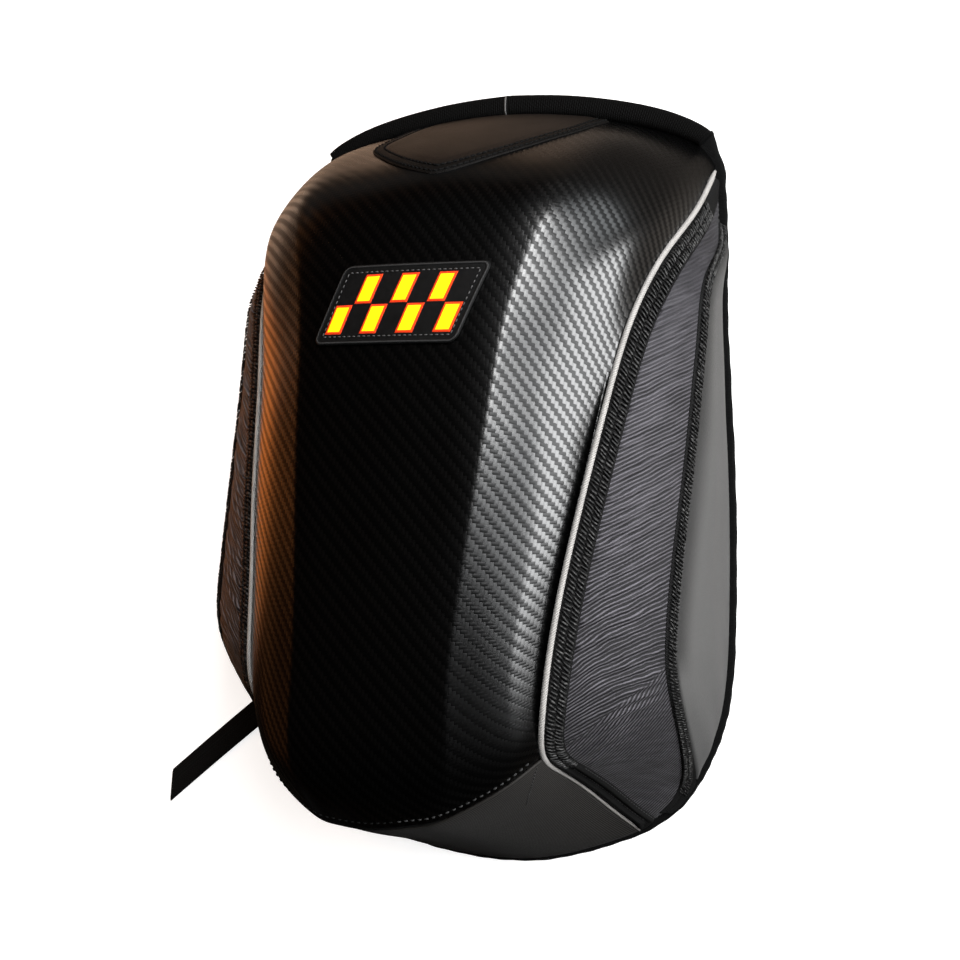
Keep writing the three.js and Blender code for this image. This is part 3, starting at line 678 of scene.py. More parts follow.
def walled(made, thickness):
    """Gives a sheet its thickness on the inner side."""
    wall = made.modifiers.new("wall", "SOLIDIFY")
    wall.thickness = thickness
    wall.offset = -1
    wall.use_even_offset = True


side_rows = np.linspace(*SIDE_ROWS, 160)[:, None]
side_length = np.linalg.norm(side_point(side_rows, 0.0) - side_point(side_rows, 1.0), axis=2)
side_length = np.maximum(side_length, SIDE_START + 1 * MM)
side_share = np.linspace(0, 1, 50)[None, :]
side_place = SIDE_START + (side_length - SIDE_START) * side_share
side_points = side_point(side_rows, side_place / side_length)
# The cloth hangs in two long shallow folds that follow the zip, and tucks under its tape.
hang = (0.9 * np.sin(side_place / (16 * MM) + side_rows * 0.5) * np.sin(side_rows * 0.8)
        + 0.5 * np.sin(side_place / (7 * MM) - side_rows * 1.3)) * MM
side_points = side_points + normals(side_points) * (hang * arch(side_share))[..., None]
side_uv = cloth_uv(side_points)

plain_cloth = Finish("plain_cloth", {
    "Specular IOR Level": 0.4, "Sheen Weight": 0.05, "Sheen Roughness": 0.5,
})
across, along = plain_cloth.cloth_mm()
threads = (across / 0.62).wave() * (along / 0.62).wave()
dust = plain_cloth.noise(0.03, 4.0)
pores = plain_cloth.noise(0.0011, 2.0)
# The cloth lies in shade beside the zip, down to where it bulges against the tape.
y = plain_cloth.body_mm()[1]
slack = y.step(-108.0, -84.0)
shade = (across.step(1.0, 21.0) * slack + across.step(0.5, 4.5) * (1 - slack)) * 0.85 + dust * 0.15
plain_cloth.surface({
    "Base Color": plain_cloth.mix(shade, grey(0.004, 0.02), grey(0.051, 0.02)),
    "Roughness": 0.5 + pores * 0.16 + dust * 0.06,
    "Normal": plain_cloth.bump(threads * 0.5 + pores, 0.00012),
})
for side, points in (("right", side_points), ("left", on_left(side_points))):
    uv = side_uv if side == "right" else side_uv[:, ::-1]
    wall = piece("side_cloth_" + side, grid_mesh(points, uv), plain_cloth, "plain_cloth", "side_wall_" + side)
    walled(wall, CLOTH_WALL)


# Rear zips
# Black coil zip folded along the edge of each side: half its tape lies on the gusset, half on the side wall.
# Two rows of nylon coil stand along its middle.
REAR_ZIP_ROWS = (1.3, 14.3)
REAR_TAPE_WALL = 1.2 * MM
REAR_COIL = (2.1 * MM, 3.0 * MM, 0.62 * MM)
GUSSET_BULGE = 3.5 * MM
GUSSET_OUTWARD = np.array([0.7, 0, 0.7])


def gusset_point(row, t):
    """Gusset: straight from the piping's line to the rear zip's line on the same row, bulged by an arch."""
    row, t = np.broadcast_arrays(row, t)
    share = t[..., None]
    return PIPING(row) * (1 - share) + REAR_ZIP(row) * share + GUSSET_OUTWARD * GUSSET_BULGE * arch(share)


def gusset_length(row):
    """Length of a gusset section from the piping's line to the rear zip's."""
    return np.linalg.norm(PIPING(row) - REAR_ZIP(row), axis=-1)


def rear_zip_grid(rows, columns):
    """Zip tape over the fold: places before the middle lie on the gusset, places after it on the side wall.
    A running mean across it rounds the fold, and the middle stands a little proud."""
    row = np.linspace(*REAR_ZIP_ROWS, rows)[:, None]
    place = np.linspace(-0.5, 0.5, columns)[None, :] * REAR_ZIP_WIDTH
    on_gusset = gusset_point(row, 1 + np.minimum(place, 0) / np.maximum(gusset_length(row), REAR_ZIP_WIDTH))
    reach = np.linalg.norm(side_point(row, 0.0) - side_point(row, 1.0), axis=2)
    on_wall = side_point(row, np.maximum(place, 0) / np.maximum(reach, REAR_ZIP_WIDTH))
    points = np.where((place < 0)[..., None], on_gusset, on_wall)
    for _ in range(6):
        points[:, 1:-1] = (points[:, :-2] + 2 * points[:, 1:-1] + points[:, 2:]) / 4
    return points + normals(points) * (0.3 + 0.9 * np.cos(np.pi * place / REAR_ZIP_WIDTH))[..., None] * MM


def coil_grids(tape, pitch, reach, radius, seed):
    """Two rows of coil along a tape's middle column: each tooth is a six-sided thread that arches from the
    middle out to its own side. All slant the same way along the tape, each by its own amount and with its own
    thickness; the two rows are half a pitch apart."""
    dice = np.random.default_rng(seed)
    middle = tape.shape[1] // 2
    line = tape[:, middle]
    count = int(run_length(line)[-1] / pitch) - 1
    out = normals(tape)[:, middle]
    rows = []
    for side in (-1, 1):
        at = (np.arange(count) + 0.5 + side * 0.25 + dice.uniform(-0.15, 0.15, count)) * pitch
        place = read_along(line, at, line)
        up = unit(read_along(line, at, out))
        way = unit(read_along(line, at, np.gradient(line, axis=0)))
        square = unit(np.cross(up, way)) * side
        share = np.array([-0.05, 0.14, 0.5, 0.85, 1.0])
        bend = np.array([0.0, 0.8, 1.1, 0.8, -0.1]) * radius
        slant = side * (share - 0.45) * pitch * dice.uniform(0.6, 1.5, (count, 1))
        thick = np.array([0.6, 1, 1, 1, 0.6]) * radius * dice.uniform(0.7, 1.15, (count, 1))
        turn = np.linspace(0, 2 * np.pi, 6, endpoint=False)
        local_side = np.broadcast_to((share * reach)[:, None], (5, 6))
        local_way = slant[..., None] + thick[..., None] * np.cos(turn)
        local_up = bend[:, None] + thick[..., None] * np.sin(turn)
        rows.append(placed(place, (square, way, up), (local_side, local_way, local_up)))
    return np.concatenate(rows)


zip_tape = Finish("zip_tape", {"Specular IOR Level": 0.1})
across, along = zip_tape.cloth_mm()
chevron = (along / 1.3 + abs((across / 1.8).fraction() * 2 - 1) * 0.8).wave()
lint = zip_tape.noise(0.002, 3.0)
zip_tape.surface({
    "Base Color": zip_tape.mix(chevron * 0.6 + lint * 0.4, grey(0.001), grey(0.006)),
    "Roughness": 0.6 + lint * 0.25,
    "Normal": zip_tape.bump(chevron + lint * 0.3, 0.0002),
})
zip_coil = Finish("zip_coil", {"Specular IOR Level": 0.25})
# The lighter spots on the coil are partly rubbed wear and partly painted highlights that stand in for glints
# on its teeth.
scuff_and_glint = zip_coil.noise(0.0016, 2.0)
rubbed_and_glint = scuff_and_glint.step(0.5, 0.66)
zip_coil.surface({
    "Base Color": zip_coil.mix(rubbed_and_glint, grey(0.001), grey(0.036, 0.03)),
    "Roughness": 0.5 - rubbed_and_glint * 0.12,
})
COIL_UV = np.stack(np.meshgrid(np.arange(7) * 0.0003, np.arange(5) * 0.0006), axis=-1)
rear_tape = rear_zip_grid(240, 17)
for side, points in (("right", rear_tape), ("left", on_left(rear_tape))):
    tape_mesh = grid_mesh(points, cloth_uv(points))
    tape = piece("rear_tape_" + side, tape_mesh, zip_tape, "zip_coil", "rear_zip_" + side)
    walled(tape, REAR_TAPE_WALL)
    coil = coil_grids(points[:-12], *REAR_COIL, seed=5)
    piece("rear_coil_" + side, grid_mesh(coil, COIL_UV, ring=True), zip_coil, "zip_coil")


# Gussets
# Dark grey coated cloth with fine diagonal ribs, folded in between the two zips so that the pack can grow.
# Slack in it gathers into creases that lean up towards the rear zip and bend round the lower corner.
FRONT_ZIP_WIDTH = 11 * MM
SEAM_CLEAR = 1.5 * MM
GUSSET_ROWS = (0.3, 14.8)
FOLD_PITCH = 6.2 * MM
FOLD_DEPTH = 2.8 * MM
ZIP_MARGIN = 3.6 * MM


def slant(row):
    """How much wider a strip is along a section than square across the piping's line."""
    way = unit(PIPING(row + 0.05) - PIPING(row - 0.05))
    section = unit(REAR_ZIP(row) - PIPING(row))
    return 1 / np.linalg.norm(np.cross(way, section), axis=-1)


def gusset_fold(row, across, y, share):
    """Height of the creases, from 0 to 1. A crease is a squared sine of the place along the side, less a part
    of the place across; each has its own height, its own middle between the zips and its own length, and a
    slow wave bends them. Finer creases of less than half the pitch lie over them."""
    dice = np.random.default_rng(11)
    bend = (0.35 * np.sin(y / (31 * MM) + across / (14 * MM))
            + 0.16 * np.sin(y / (11 * MM) - across / (17 * MM)))
    high = 0 * (y + across)
    for pitch, lean, part in ((FOLD_PITCH, 0.5, 0.78), (FOLD_PITCH / 2.3, 0.6, 0.22)):
        turn = (y - lean * across) / pitch + bend * FOLD_PITCH / pitch + 200
        number = np.floor(turn).astype(int)
        tall = dice.uniform(0.1, 1.0, 400)[number]
        middle = dice.uniform(0.05, 0.75, 400)[number]
        reach = dice.uniform(0.25, 0.6, 400)[number]
        high = high + part * tall * np.sin(np.pi * turn) ** 2 * np.exp(-(((share - middle) / reach) ** 2))
    where = smooth(1.6, 3.4, row) * (1 - 0.7 * smooth(9.2, 10.6, row)) * (1 - smooth(11.5, 12.3, row))
    return high * where * smooth(0, 0.06, share) * smooth(1, 0.9, share)


def mark(mesh, name, values):
    """Gives every point of a mesh a number, which a finish reads by its name."""
    mesh.attributes.new(name, "FLOAT", "POINT").data.foreach_set("value", values.ravel())


gusset_rows = np.linspace(*GUSSET_ROWS, 520)[:, None]
gusset_span = gusset_length(gusset_rows)
gusset_inner = (SEAM_CLEAR + FRONT_ZIP_WIDTH) * slant(gusset_rows) - 0.6 * MM
gusset_inner = np.minimum(gusset_inner, gusset_span * 0.8)
runs_beside_zip = smooth(0.8, 1.15, gusset_rows) * (1 - smooth(13.65, 14, gusset_rows))
gusset_outer = np.maximum(gusset_span - ZIP_MARGIN * runs_beside_zip, gusset_inner + 0.2 * gusset_span)
gusset_share = np.linspace(0, 1, 90)[None, :]
gusset_place = gusset_inner + (gusset_outer - gusset_inner) * gusset_share
gusset_points = gusset_point(gusset_rows, gusset_place / gusset_span)
folds = gusset_fold(gusset_rows, gusset_place, gusset_points[..., 1], gusset_share)
gusset_points = gusset_points + normals(gusset_points) * (FOLD_DEPTH * folds)[..., None]
gusset_uv = uv_grid(gusset_place, PIPING(gusset_rows)[..., 1])

ribbed_cloth = Finish("ribbed_cloth", {
    "Specular IOR Level": 0.15, "Sheen Weight": 0.04, "Sheen Roughness": 0.5,
})
x, y, z = ribbed_cloth.body_mm()
# The ribs rise towards the rear zip over the slope of the gusset, alike on both sides. Slack bends them
# and makes groups of them catch more or less light, in long streaks; below the corner they are straight and
# steep, and near the top they fade.
down_slope = abs(x) - z
sway = ribbed_cloth.noise(0.02, 2.0) - 0.5
corner = 1 - y.step(-95.0, -35.0)
rib_place = y - down_slope * 0.36 + sway * 2.4 + corner * (down_slope * down_slope * 0.003 + sway * 2.5)
below = 1 - (y - down_slope * 0.6 + sway * 10).step(-127.0, -118.0)
upper_rib = (rib_place / 2.2).wave().step(0.3, 0.95)
lower_rib = ((y - down_slope * 1.2) / 3.7).wave().step(0.25, 0.9)
rib_line = upper_rib * (1 - below) + lower_rib * below
plain = y.step(40.0, 110.0) * 0.75
rib_line = rib_line * (1 - plain) + plain * 0.36
streak_at = ribbed_cloth.node("CombineXYZ", {}, {0: rib_place * 0.36, 1: (down_slope + y * 0.5) * 0.035})
streak = ribbed_cloth.node("TexNoise", {}, {
    "Vector": streak_at, "Scale": 1.0, "Detail": 2.0, "Roughness": 0.6,
})
# Painted highlight on the creases: the colour is lighter on their crests than in the hollows between them.
crest = ribbed_cloth.node("Attribute", {"attribute_name": "crease"}, {}, output=2)
grit = ribbed_cloth.noise(0.0012, 3.0)
dust = ribbed_cloth.noise(0.025, 4.0)
lit_rib = rib_line * (0.35 + grit * 0.55) * (0.8 + streak * 0.4)
tone = lit_rib + (streak.step(0.3, 0.7) - 0.5) * 0.2 + crest.step(0.04, 0.4) * 0.15 + dust * 0.12 - 0.02
# Painted shade: the colour darkens towards the foot of the gusset, a little towards the rear zip, and towards
# the top.
low = 1 - y.step(-150.0, 0.0)
tone = (tone * (1 + low * 0.7) - low * 0.66).higher(0.0)
tone = tone * (1 - down_slope.step(0.0, 60.0) * 0.2) * (1 - y.step(70.0, 140.0) * 0.45)
ribbed_cloth.surface({
    "Base Color": ribbed_cloth.mix(tone, (0.004, 0.0037, 0.0045, 1), (0.095, 0.09, 0.101, 1)),
    "Roughness": 0.5 + grit * 0.2,
    "Normal": ribbed_cloth.bump(rib_line + grit * 0.4 + streak * 0.5, 0.0005),
})
for side, points in (("right", gusset_points), ("left", on_left(gusset_points))):
    turned = slice(None, None, 1 if side == "right" else -1)
    gusset_mesh = grid_mesh(points, gusset_uv[:, turned])
    mark(gusset_mesh, "crease", folds[:, turned])
    gusset = piece("gusset_cloth_" + side, gusset_mesh, ribbed_cloth, "ribbed_cloth", "gusset_" + side)
    walled(gusset, CLOTH_WALL)
    "front_zip_" + side


# Front zips
# Black coil zip beside the piping, sewn to the gusset along its outer edge.
# Two rows of nylon coil cover the tape down to the lower corner; below it the tape has two sewn ridges.
FRONT_ZIP_ROWS = (0.2, 14.92)
COIL_FIRST, COIL_LAST = 24, 330
SEAM_COLUMNS = (2, 12, 22)
FRONT_TAPE_WALL = 1.6 * MM
FRONT_COIL = (2.4 * MM, 4.8 * MM, 0.78 * MM)
ZIP_STITCH = (2.8 * MM, 2.1 * MM, 0.25 * MM)


def front_zip_grid(rows, columns):
    """Strip of the gusset's surface beside the piping, a little proud of it along its middle, and with two
    ridges, a squared sine across it, below the corner. It narrows where the gusset does at both ends."""
    row = np.linspace(*FRONT_ZIP_ROWS, rows)[:, None]
    share = np.linspace(0, 1, columns)[None, :]
    place = (SEAM_CLEAR + FRONT_ZIP_WIDTH * share) * slant(row)
    fit = np.minimum(1, 0.95 * gusset_length(row) / place[:, -1:])
    points = gusset_point(row, place * fit / gusset_length(row))
    ridge = 1.5 * np.sin(2 * np.pi * share) ** 2 * smooth(11, 11.6, row) * fit
    return points + normals(points) * (0.3 + 0.3 * arch(share) + ridge)[..., None] * MM


front_tape = front_zip_grid(420, 25)
for side, points in (("right", front_tape), ("left", on_left(front_tape))):
    tape_mesh = grid_mesh(points, cloth_uv(points))
    tape = piece("front_tape_" + side, tape_mesh, zip_tape, "zip_coil", "front_zip_" + side)
    walled(tape, FRONT_TAPE_WALL)
    coil = coil_grids(points[COIL_FIRST:COIL_LAST], *FRONT_COIL, seed=3)
    piece("front_coil_" + side, grid_mesh(coil, COIL_UV, ring=True), zip_coil, "zip_coil")
    below = slice(COIL_LAST, -12)
    facing = normals(points)
    seams = [stitch_grids(points[below, column], facing[below, column], *ZIP_STITCH)
             for column in SEAM_COLUMNS]
    sewn("front_zip_stitches_" + side, seams, black_thread, "zip_coil")


# Piping
# Round cord in a light grey reflective cover with fine slanting ribs, sewn into the seam between the shell
# and the front zip. It is drawn thinner on its lower run.
PIPING_RADIUS = 1.6 * MM
PIPING_PROUD = np.array([0.5, 0, 0.85]) * 0.8 * MM
PIPING_ROWS = (0.05, 15.0)


def piping_grid(rows, sides, thick):
    """Round section carried along the seam's line, standing a little proud of it, and nearly half as thin
    below the lower corner; thick is its share of the full radius above the corner. Its lower end meets the
    binding."""
    row = np.linspace(*PIPING_ROWS, rows)
    way = unit(PIPING(row + 0.02) - PIPING(row - 0.02))
    across = unit(np.array([1.0, 0, 0]) - way * way[:, :1])
    up = np.cross(across, way)
    turn = np.linspace(0, 2 * np.pi, sides + 1)
    round_it = across[:, None] * np.cos(turn)[:, None] + up[:, None] * np.sin(turn)[:, None]
    thick = thick + (1 - thick) * smooth(10.5, 11.5, row)
    radius = thick * PIPING_RADIUS * (1 - 0.45 * smooth(11, 12.5, row)) * (0.6 + 0.4 * smooth(0, 0.3, row))
    points = (PIPING(row) + PIPING_PROUD)[:, None] + round_it * radius[:, None, None]
    return points[:, :-1], uv_grid(turn * PIPING_RADIUS, run_length(points[:, 0])[:, None])


reflective = Finish("reflective_piping", {"Specular IOR Level": 0.5, "Sheen Weight": 0.1})
across, along = reflective.cloth_mm()
twist = ((along + across * 0.8) / 1.5).wave()
soil = reflective.noise(0.01, 4.0)
reflective.surface({
    "Base Color": reflective.mix(twist * 0.45 + soil * 0.55, grey(0.12, 0.06), grey(0.33, 0.05)),
    "Roughness": 0.4 + soil * 0.25,
    "Normal": reflective.bump(twist, 0.00025),
})
# On the left the cord is pulled deeper into its seam.
for side, mirror, thick in (("right", 1, 1.0), ("left", LEFT, 0.72)):
    piping_points, piping_uv = piping_grid(420, 12, thick)
    piping_mesh = grid_mesh(piping_points * mirror, piping_uv, ring=True)
    piece("piping_cord_" + side, piping_mesh, reflective, "reflective_piping", "piping_" + side)


# Shell
# Moulded front of the pack under a black coated skin, which is embossed all over with a diagonal twill.
# Its rim is sewn in beside the piping, and its tongue turns down over the bottom with a row of stitches.
SHELL = spline(np.array([
    (225.4, 24, 88, 213.6, 24, 119, 202.4, 23),
    (206, 67, 93, 194, 69, 122, 175, 62),
    (184, 106, 88, 171, 107, 118, 151, 95),
    (156, 139, 78, 146, 134, 109, 130, 119),
    (116, 155, 66, 110, 149, 97, 99, 134),
    (72, 161, 59, 70, 155, 87, 62, 140),
    (26, 164, 55, 26, 159, 82, 22, 146),
    (-22, 166, 51, -22, 162, 77, -23, 150),
    (-70, 168, 47, -70, 164, 72, -68, 154),
    (-116, 168, 45, -114, 165, 70, -109, 156),
    (-162, 164, 46, -158, 161, 72, -147, 152),
    (-194, 148, 41, -186, 148, 69, -168, 142),
]) * MM)
TONGUE_ROW = 11
SECTION_END = 4
CROWN_SHARE = np.array([0.6, 0.6**2, 0.6**3])
SHELL_CLEAR = 1.4 * MM
SHELL_WALL = 2.4 * MM
RIDGE = 2.03
CREASE_HEIGHT = 1.9 * MM
ROLL_DEPTH = 6 * MM
SHELL_COLUMNS = 221
SHELL_MIDDLE = SHELL_COLUMNS // 2
SHELL_FIRST = -0.25
HEM_ROW = -4
HEM_SPLIT = 124
HEM_STITCH = (4.0 * MM, 2.4 * MM, 0.5 * MM)


def shell_point(row, v):
    """Point of the shell: on every row a mirrored spline through edge, flank, ridge, crown and centre, with
    v from -4 to 4. Along each ridge a crease is pressed up, an exponential of the distance from it that is
    rounded at its top. Beside the right seam the skin rolls under as the square of the distance, and the
    tongue hangs a little askew."""
    row, v = np.broadcast_arrays(np.asarray(row, float), np.asarray(v, float))
    shape = row.shape
    row, v = row.ravel(), v.ravel()
    rib = SHELL(row)
    centre = np.stack([0 * row, rib[:, 0], rib[:, 1]], axis=1)
    ridge, flank, seam = rib[:, 2:5], rib[:, 5:8], PIPING(row)
    edge = seam - SHELL_CLEAR * unit(seam - flank)
    crown = centre + (ridge - centre) * CROWN_SHARE
    half = np.stack([crown, ridge, flank, edge])
    section = np.concatenate([half[::-1] * LEFT, centre[None], half])
    place = spline(section)(v + SECTION_END, np.arange(len(v)))
    roll = (np.clip(v - 3.2, 0, None) / 0.72) ** 2 * (1 - smooth(3.92, 4, v))
    roll = roll * smooth(4.2, 6.2, row) * (1 - smooth(9.6, 10.8, row))
    place[:, 1] += 0.1 * place[:, 0] * (1 - (v / SECTION_END) ** 4) * smooth(8, TONGUE_ROW, row)
    crease = np.exp(-np.hypot(np.abs(v) - RIDGE, 0.07) / 0.4)
    crease = crease * smooth(2.2, 4, row) * (1 - smooth(9.8, 11, row))
    place[:, 0] += 0.35 * CREASE_HEIGHT * crease * np.sign(v)
    place[:, 2] += 0.94 * CREASE_HEIGHT * crease
    place[:, 2] -= ROLL_DEPTH * roll
    return place.reshape(shape + (3,))


shell_places = np.linspace(-SECTION_END, SECTION_END, SHELL_COLUMNS)[None, :]
# The tongue reaches lower on its left half, where it turns in under the bottom.
shell_last = TONGUE_ROW + 0.1 * smooth(0.8, -1.4, shell_places) * smooth(-4, -1.6, shell_places)
shell_rows = SHELL_FIRST + (shell_last - SHELL_FIRST) * np.linspace(0, 1, 210)[:, None]
shell_points = shell_point(shell_rows, shell_places)
shell_uv = cloth_uv(shell_points)
shell_uv[..., 0] -= shell_uv[:, [SHELL_MIDDLE], 0]
shell_uv[..., 1] = -run_length(shell_points[:, SHELL_MIDDLE])[:, None]

twill_skin = Finish("twill_skin", {"Specular IOR Level": 0.2, "Coat Roughness": 0.23, "Coat IOR": 1.5})
across, along = twill_skin.cloth_mm()
# Two-over-two twill: a bundle of threads floats over two others, and every next one starts a step later.
TOW = 2.15
over_x = across / TOW
over_y = along / TOW
beat = (over_x.floor() + over_y.floor()) % 4
is_warp = beat < 2
side_x = over_x.fraction() * 2 - 1
side_y = over_y.fraction() * 2 - 1
warp_run = beat + over_y.fraction() - 1
weft_run = beat + over_x.fraction() - 3
warp_high = (1 - side_x * side_x) * (1 - warp_run * warp_run * warp_run * warp_run)
weft_high = (1 - side_y * side_y) * (1 - weft_run * weft_run * weft_run * weft_run)
tow_high = is_warp * warp_high + (1 - is_warp) * weft_high
haze = twill_skin.noise(0.02, 4.0)
# On the top slope the skin is stretched, so the pattern is shallower and the gloss weaker.
drawn = twill_skin.body_mm()[1].step(140.0, 180.0)
gloss = is_warp * (0.72 + tow_high * 0.26) * (1 - drawn) + drawn * 0.1
# Along the flat front, at a low angle, the pores of the skin scatter the gloss.
front = twill_skin.node("Attribute", {"attribute_name": "front"}, {}, output=2)
low_angle = front * twill_skin.node("LayerWeight", {}, {"Blend": 0.5}, output=1).step(0.36, 0.6)
twill_skin.surface({
    "Base Color": twill_skin.mix(is_warp * tow_high, grey(0.0002), grey(0.0007)),
    "Roughness": 0.27 - is_warp * 0.03 + haze * 0.05 + low_angle * 0.5,
    "Coat Weight": 0.02 + gloss * (1 - low_angle * 0.96),
    "Normal": twill_skin.bump(tow_high * (1 - drawn * 0.8), 0.00006),
})
shell_mesh = grid_mesh(shell_points, shell_uv)
mark(shell_mesh, "front", (1 - smooth(1.75, 2.1, np.abs(shell_places))) * smooth(2.0, 3.4, shell_rows))
shell_skin = piece("shell_skin", shell_mesh, twill_skin, "twill_skin", "shell")
walled(shell_skin, SHELL_WALL)
hem_out = normals(shell_points)[HEM_ROW]
hem = shell_points[HEM_ROW] + hem_out * 0.1 * MM
dim_thread = thread("dim_thread", 0.02, 0.6, 0.2)
dark_thread = thread("dark_thread", 0.002, 0.7, 0.08)
# Painted shade: the left half of the tongue's stitches, which lies in shade, has darker and less glossy
# thread than the right half.
left_half, right_half = slice(8, HEM_SPLIT), slice(HEM_SPLIT, -8)
for side, part, strand in (("left", left_half, dark_thread), ("right", right_half, dim_thread)):
    hem_stitches = stitch_grids(hem[part], hem_out[part], *HEM_STITCH)
    sewn("tongue_stitches_" + side, [hem_stitches], strand, "twill_skin")


# Bottom panel
# Plain dark cloth with fine cross lines between the tongue, the lower runs of piping and the binding.
# A short sewn dart runs down from each end of the tongue.
BOTTOM_BULGE = 3 * MM
BOTTOM_CLEAR = 0.006
BOTTOM_PROUD = 1 * MM
DART_PROUD = 1.1 * MM
DART_STITCH = (2.4 * MM, 1.8 * MM, 0.35 * MM)
LAST_ROW = 15


def bottom_point(a, b):
    """Patch between four curves: the mean of the tongue's edge and the binding's arc by a, corrected at both
    sides so that it meets the lower runs of piping, and bulged downwards by two arches."""
    a, b = np.broadcast_arrays(a, b)
    across = 2 * b - 1
    down = a[..., None]
    tongue = shell_point(TONGUE_ROW, SECTION_END * across)
    foot = edge_point(BOTTOM_ROW - np.abs(across) * 4, FOOT_INSET, FOOT_HEIGHT)
    foot = foot * np.stack([np.where(across < 0, -1, 1), 1 + 0 * across, 1 + 0 * across], axis=-1)
    seam = PIPING(TONGUE_ROW + (LAST_ROW - TONGUE_ROW) * a)
    low = edge_point(np.array(LAST_ROW + 1.0), FOOT_INSET, FOOT_HEIGHT)
    ruled_right = shell_point(TONGUE_ROW, SECTION_END * 1.0) * (1 - down) + low * down
    ruled_left = shell_point(TONGUE_ROW, SECTION_END * -1.0) * (1 - down) + low * LEFT * down
    place = tongue * (1 - down) + foot * down
    place = place + (seam - ruled_right) * b[..., None] + (seam * LEFT - ruled_left) * (1 - b[..., None])
    place[..., 1] -= BOTTOM_BULGE * arch(a) * arch(b)
    return place


bottom_down = np.linspace(0.016, 1, 70)[:, None]
bottom_across = np.linspace(BOTTOM_CLEAR, 1 - BOTTOM_CLEAR, 150)[None, :]
bottom_points = bottom_point(bottom_down, bottom_across)
bottom_points = bottom_points + normals(bottom_points) * BOTTOM_PROUD

lined_cloth = Finish("lined_cloth", {
    "Specular IOR Level": 0.2, "Sheen Weight": 0.02, "Sheen Roughness": 0.5,
})
across, along = lined_cloth.cloth_mm()
line = (along / 1.9).wave()
grit = lined_cloth.noise(0.0013, 2.0)
dust = lined_cloth.noise(0.03, 4.0)
tone = line * 0.5 + grit * 0.2 + dust * 0.3
lined_cloth.surface({
    "Base Color": lined_cloth.mix(tone, grey(0.002, 0.15), grey(0.0115, 0.16)),
    "Roughness": 0.55 + grit * 0.2,
    "Normal": lined_cloth.bump(line + grit * 0.4, 0.0003),
})
bottom_mesh = grid_mesh(bottom_points, cloth_uv(bottom_points))
bottom = piece("bottom_cloth", bottom_mesh, lined_cloth, "plain_cloth", "bottom_panel")
walled(bottom, CLOTH_WALL)
dart_down = np.linspace(0.035, 0.3, 30)
darts = []
for dart_across in (0.983 - 0.36 * dart_down, 0.017 + 0.36 * dart_down):
    down_step = bottom_point(dart_down + 0.01, dart_across) - bottom_point(dart_down - 0.01, dart_across)
    across_step = bottom_point(dart_down, dart_across + 0.01) - bottom_point(dart_down, dart_across - 0.01)
    dart_out = unit(np.cross(down_step, across_step))
    dart_line = bottom_point(dart_down, dart_across) + dart_out * DART_PROUD
    darts.append(stitch_grids(dart_line, dart_out, *DART_STITCH))
sewn("dart_stitches", darts, black_thread, "plain_cloth")


# Top panel
# Smooth black skin sewn on the top slope of the shell, from the collar to a tip on the brow.
# Its border is a flat band, rounded over a cord at the rim and held by a row of stitches on each side.
TOP_PANEL = spline([
    (0.1, -61 * MM, 68 * MM), (0.5, -59 * MM, 67.5 * MM), (0.9, -58 * MM, 65 * MM),
    (1.22, -59.5 * MM, 59.5 * MM), (1.55, -58.5 * MM, 52 * MM), (1.95, -46 * MM, 42 * MM),
    (2.38, -28 * MM, 28.5 * MM), (2.66, -10 * MM, 16 * MM), (2.78, 3 * MM, 6 * MM),
])
TOP_PANEL_LAST = 8
BORDER_OUTER = 1.9 * MM
BORDER_INNER = 7.4 * MM
BORDER_STITCH = (3.6 * MM, 2.9 * MM, 0.6 * MM)
PANEL_COLUMNS = 170
PANEL_WALL = 1.2 * MM


def halving(low, high, is_below, rounds):
    """Value between two limits where a rising test turns true, found for a whole array by halving."""
    low, high = low.copy(), high.copy()
    for _ in range(rounds):
        middle = (low + high) / 2
        below = is_below(middle)
        low = np.where(below, middle, low)
        high = np.where(below, high, middle)
    return low


def shell_across(row, x, rounds=18):
    """Section place v where the shell has the given x on a row."""
    end = np.full(np.shape(x), float(SECTION_END))
    return halving(-end, end, lambda v: shell_point(row, v)[..., 0] < x, rounds)


def border_distance(points, outline):
    """Distance of every point from the nearest point of an outline, from the squares and the dot products."""
    flat = points.reshape(-1, 3)
    square = (flat**2).sum(axis=1)[:, None] + (outline**2).sum(axis=1) - 2 * flat @ outline.T
    return np.sqrt(np.maximum(square.min(axis=1), 0)).reshape(points.shape[:-1])


def inset_line(outline, out, depth):
    """Outline of a patch moved inwards by a depth, without the loops that this makes at sharp corners, and
    the outward directions along it."""
    moved = outline + unit(np.cross(out, np.gradient(outline, axis=0))) * depth
    clear = border_distance(moved, outline) > 0.96 * depth
    return moved[clear], out[clear]


def round_border(grid):
    """Left column, last row and right column of a grid, as one line."""
    return np.concatenate([grid[:-1, 0], grid[-1, :-1:8], grid[::-1, -1]])


panel_rows, panel_left, panel_right = np.moveaxis(TOP_PANEL(np.linspace(0, TOP_PANEL_LAST, 160)), -1, 0)
panel_share = np.linspace(0, 1, PANEL_COLUMNS)[None, :]
panel_x = panel_left[:, None] + (panel_right - panel_left)[:, None] * panel_share
panel_row = np.broadcast_to(panel_rows[:, None], panel_x.shape)
panel_base = shell_point(panel_row, shell_across(panel_row, panel_x))
panel_out = normals(panel_base)
panel_outline = round_border(panel_base)
rim = border_distance(panel_base, panel_outline)
panel_lift = (0.7 + 0.9 * (1 - np.exp(-((rim / (1.2 * MM)) ** 2)))
              - 0.5 * np.exp(-(((rim - BORDER_OUTER) / (0.6 * MM)) ** 2))
              - 0.8 * np.exp(-(((rim - BORDER_INNER) / (0.8 * MM)) ** 2))
              + 0.5 * smooth(BORDER_INNER, 2 * BORDER_INNER, rim)) * MM
panel_points = panel_base + panel_out * panel_lift[..., None]
panel_uv = uv_grid(rim, run_length(panel_base[:, PANEL_COLUMNS // 2])[:, None])

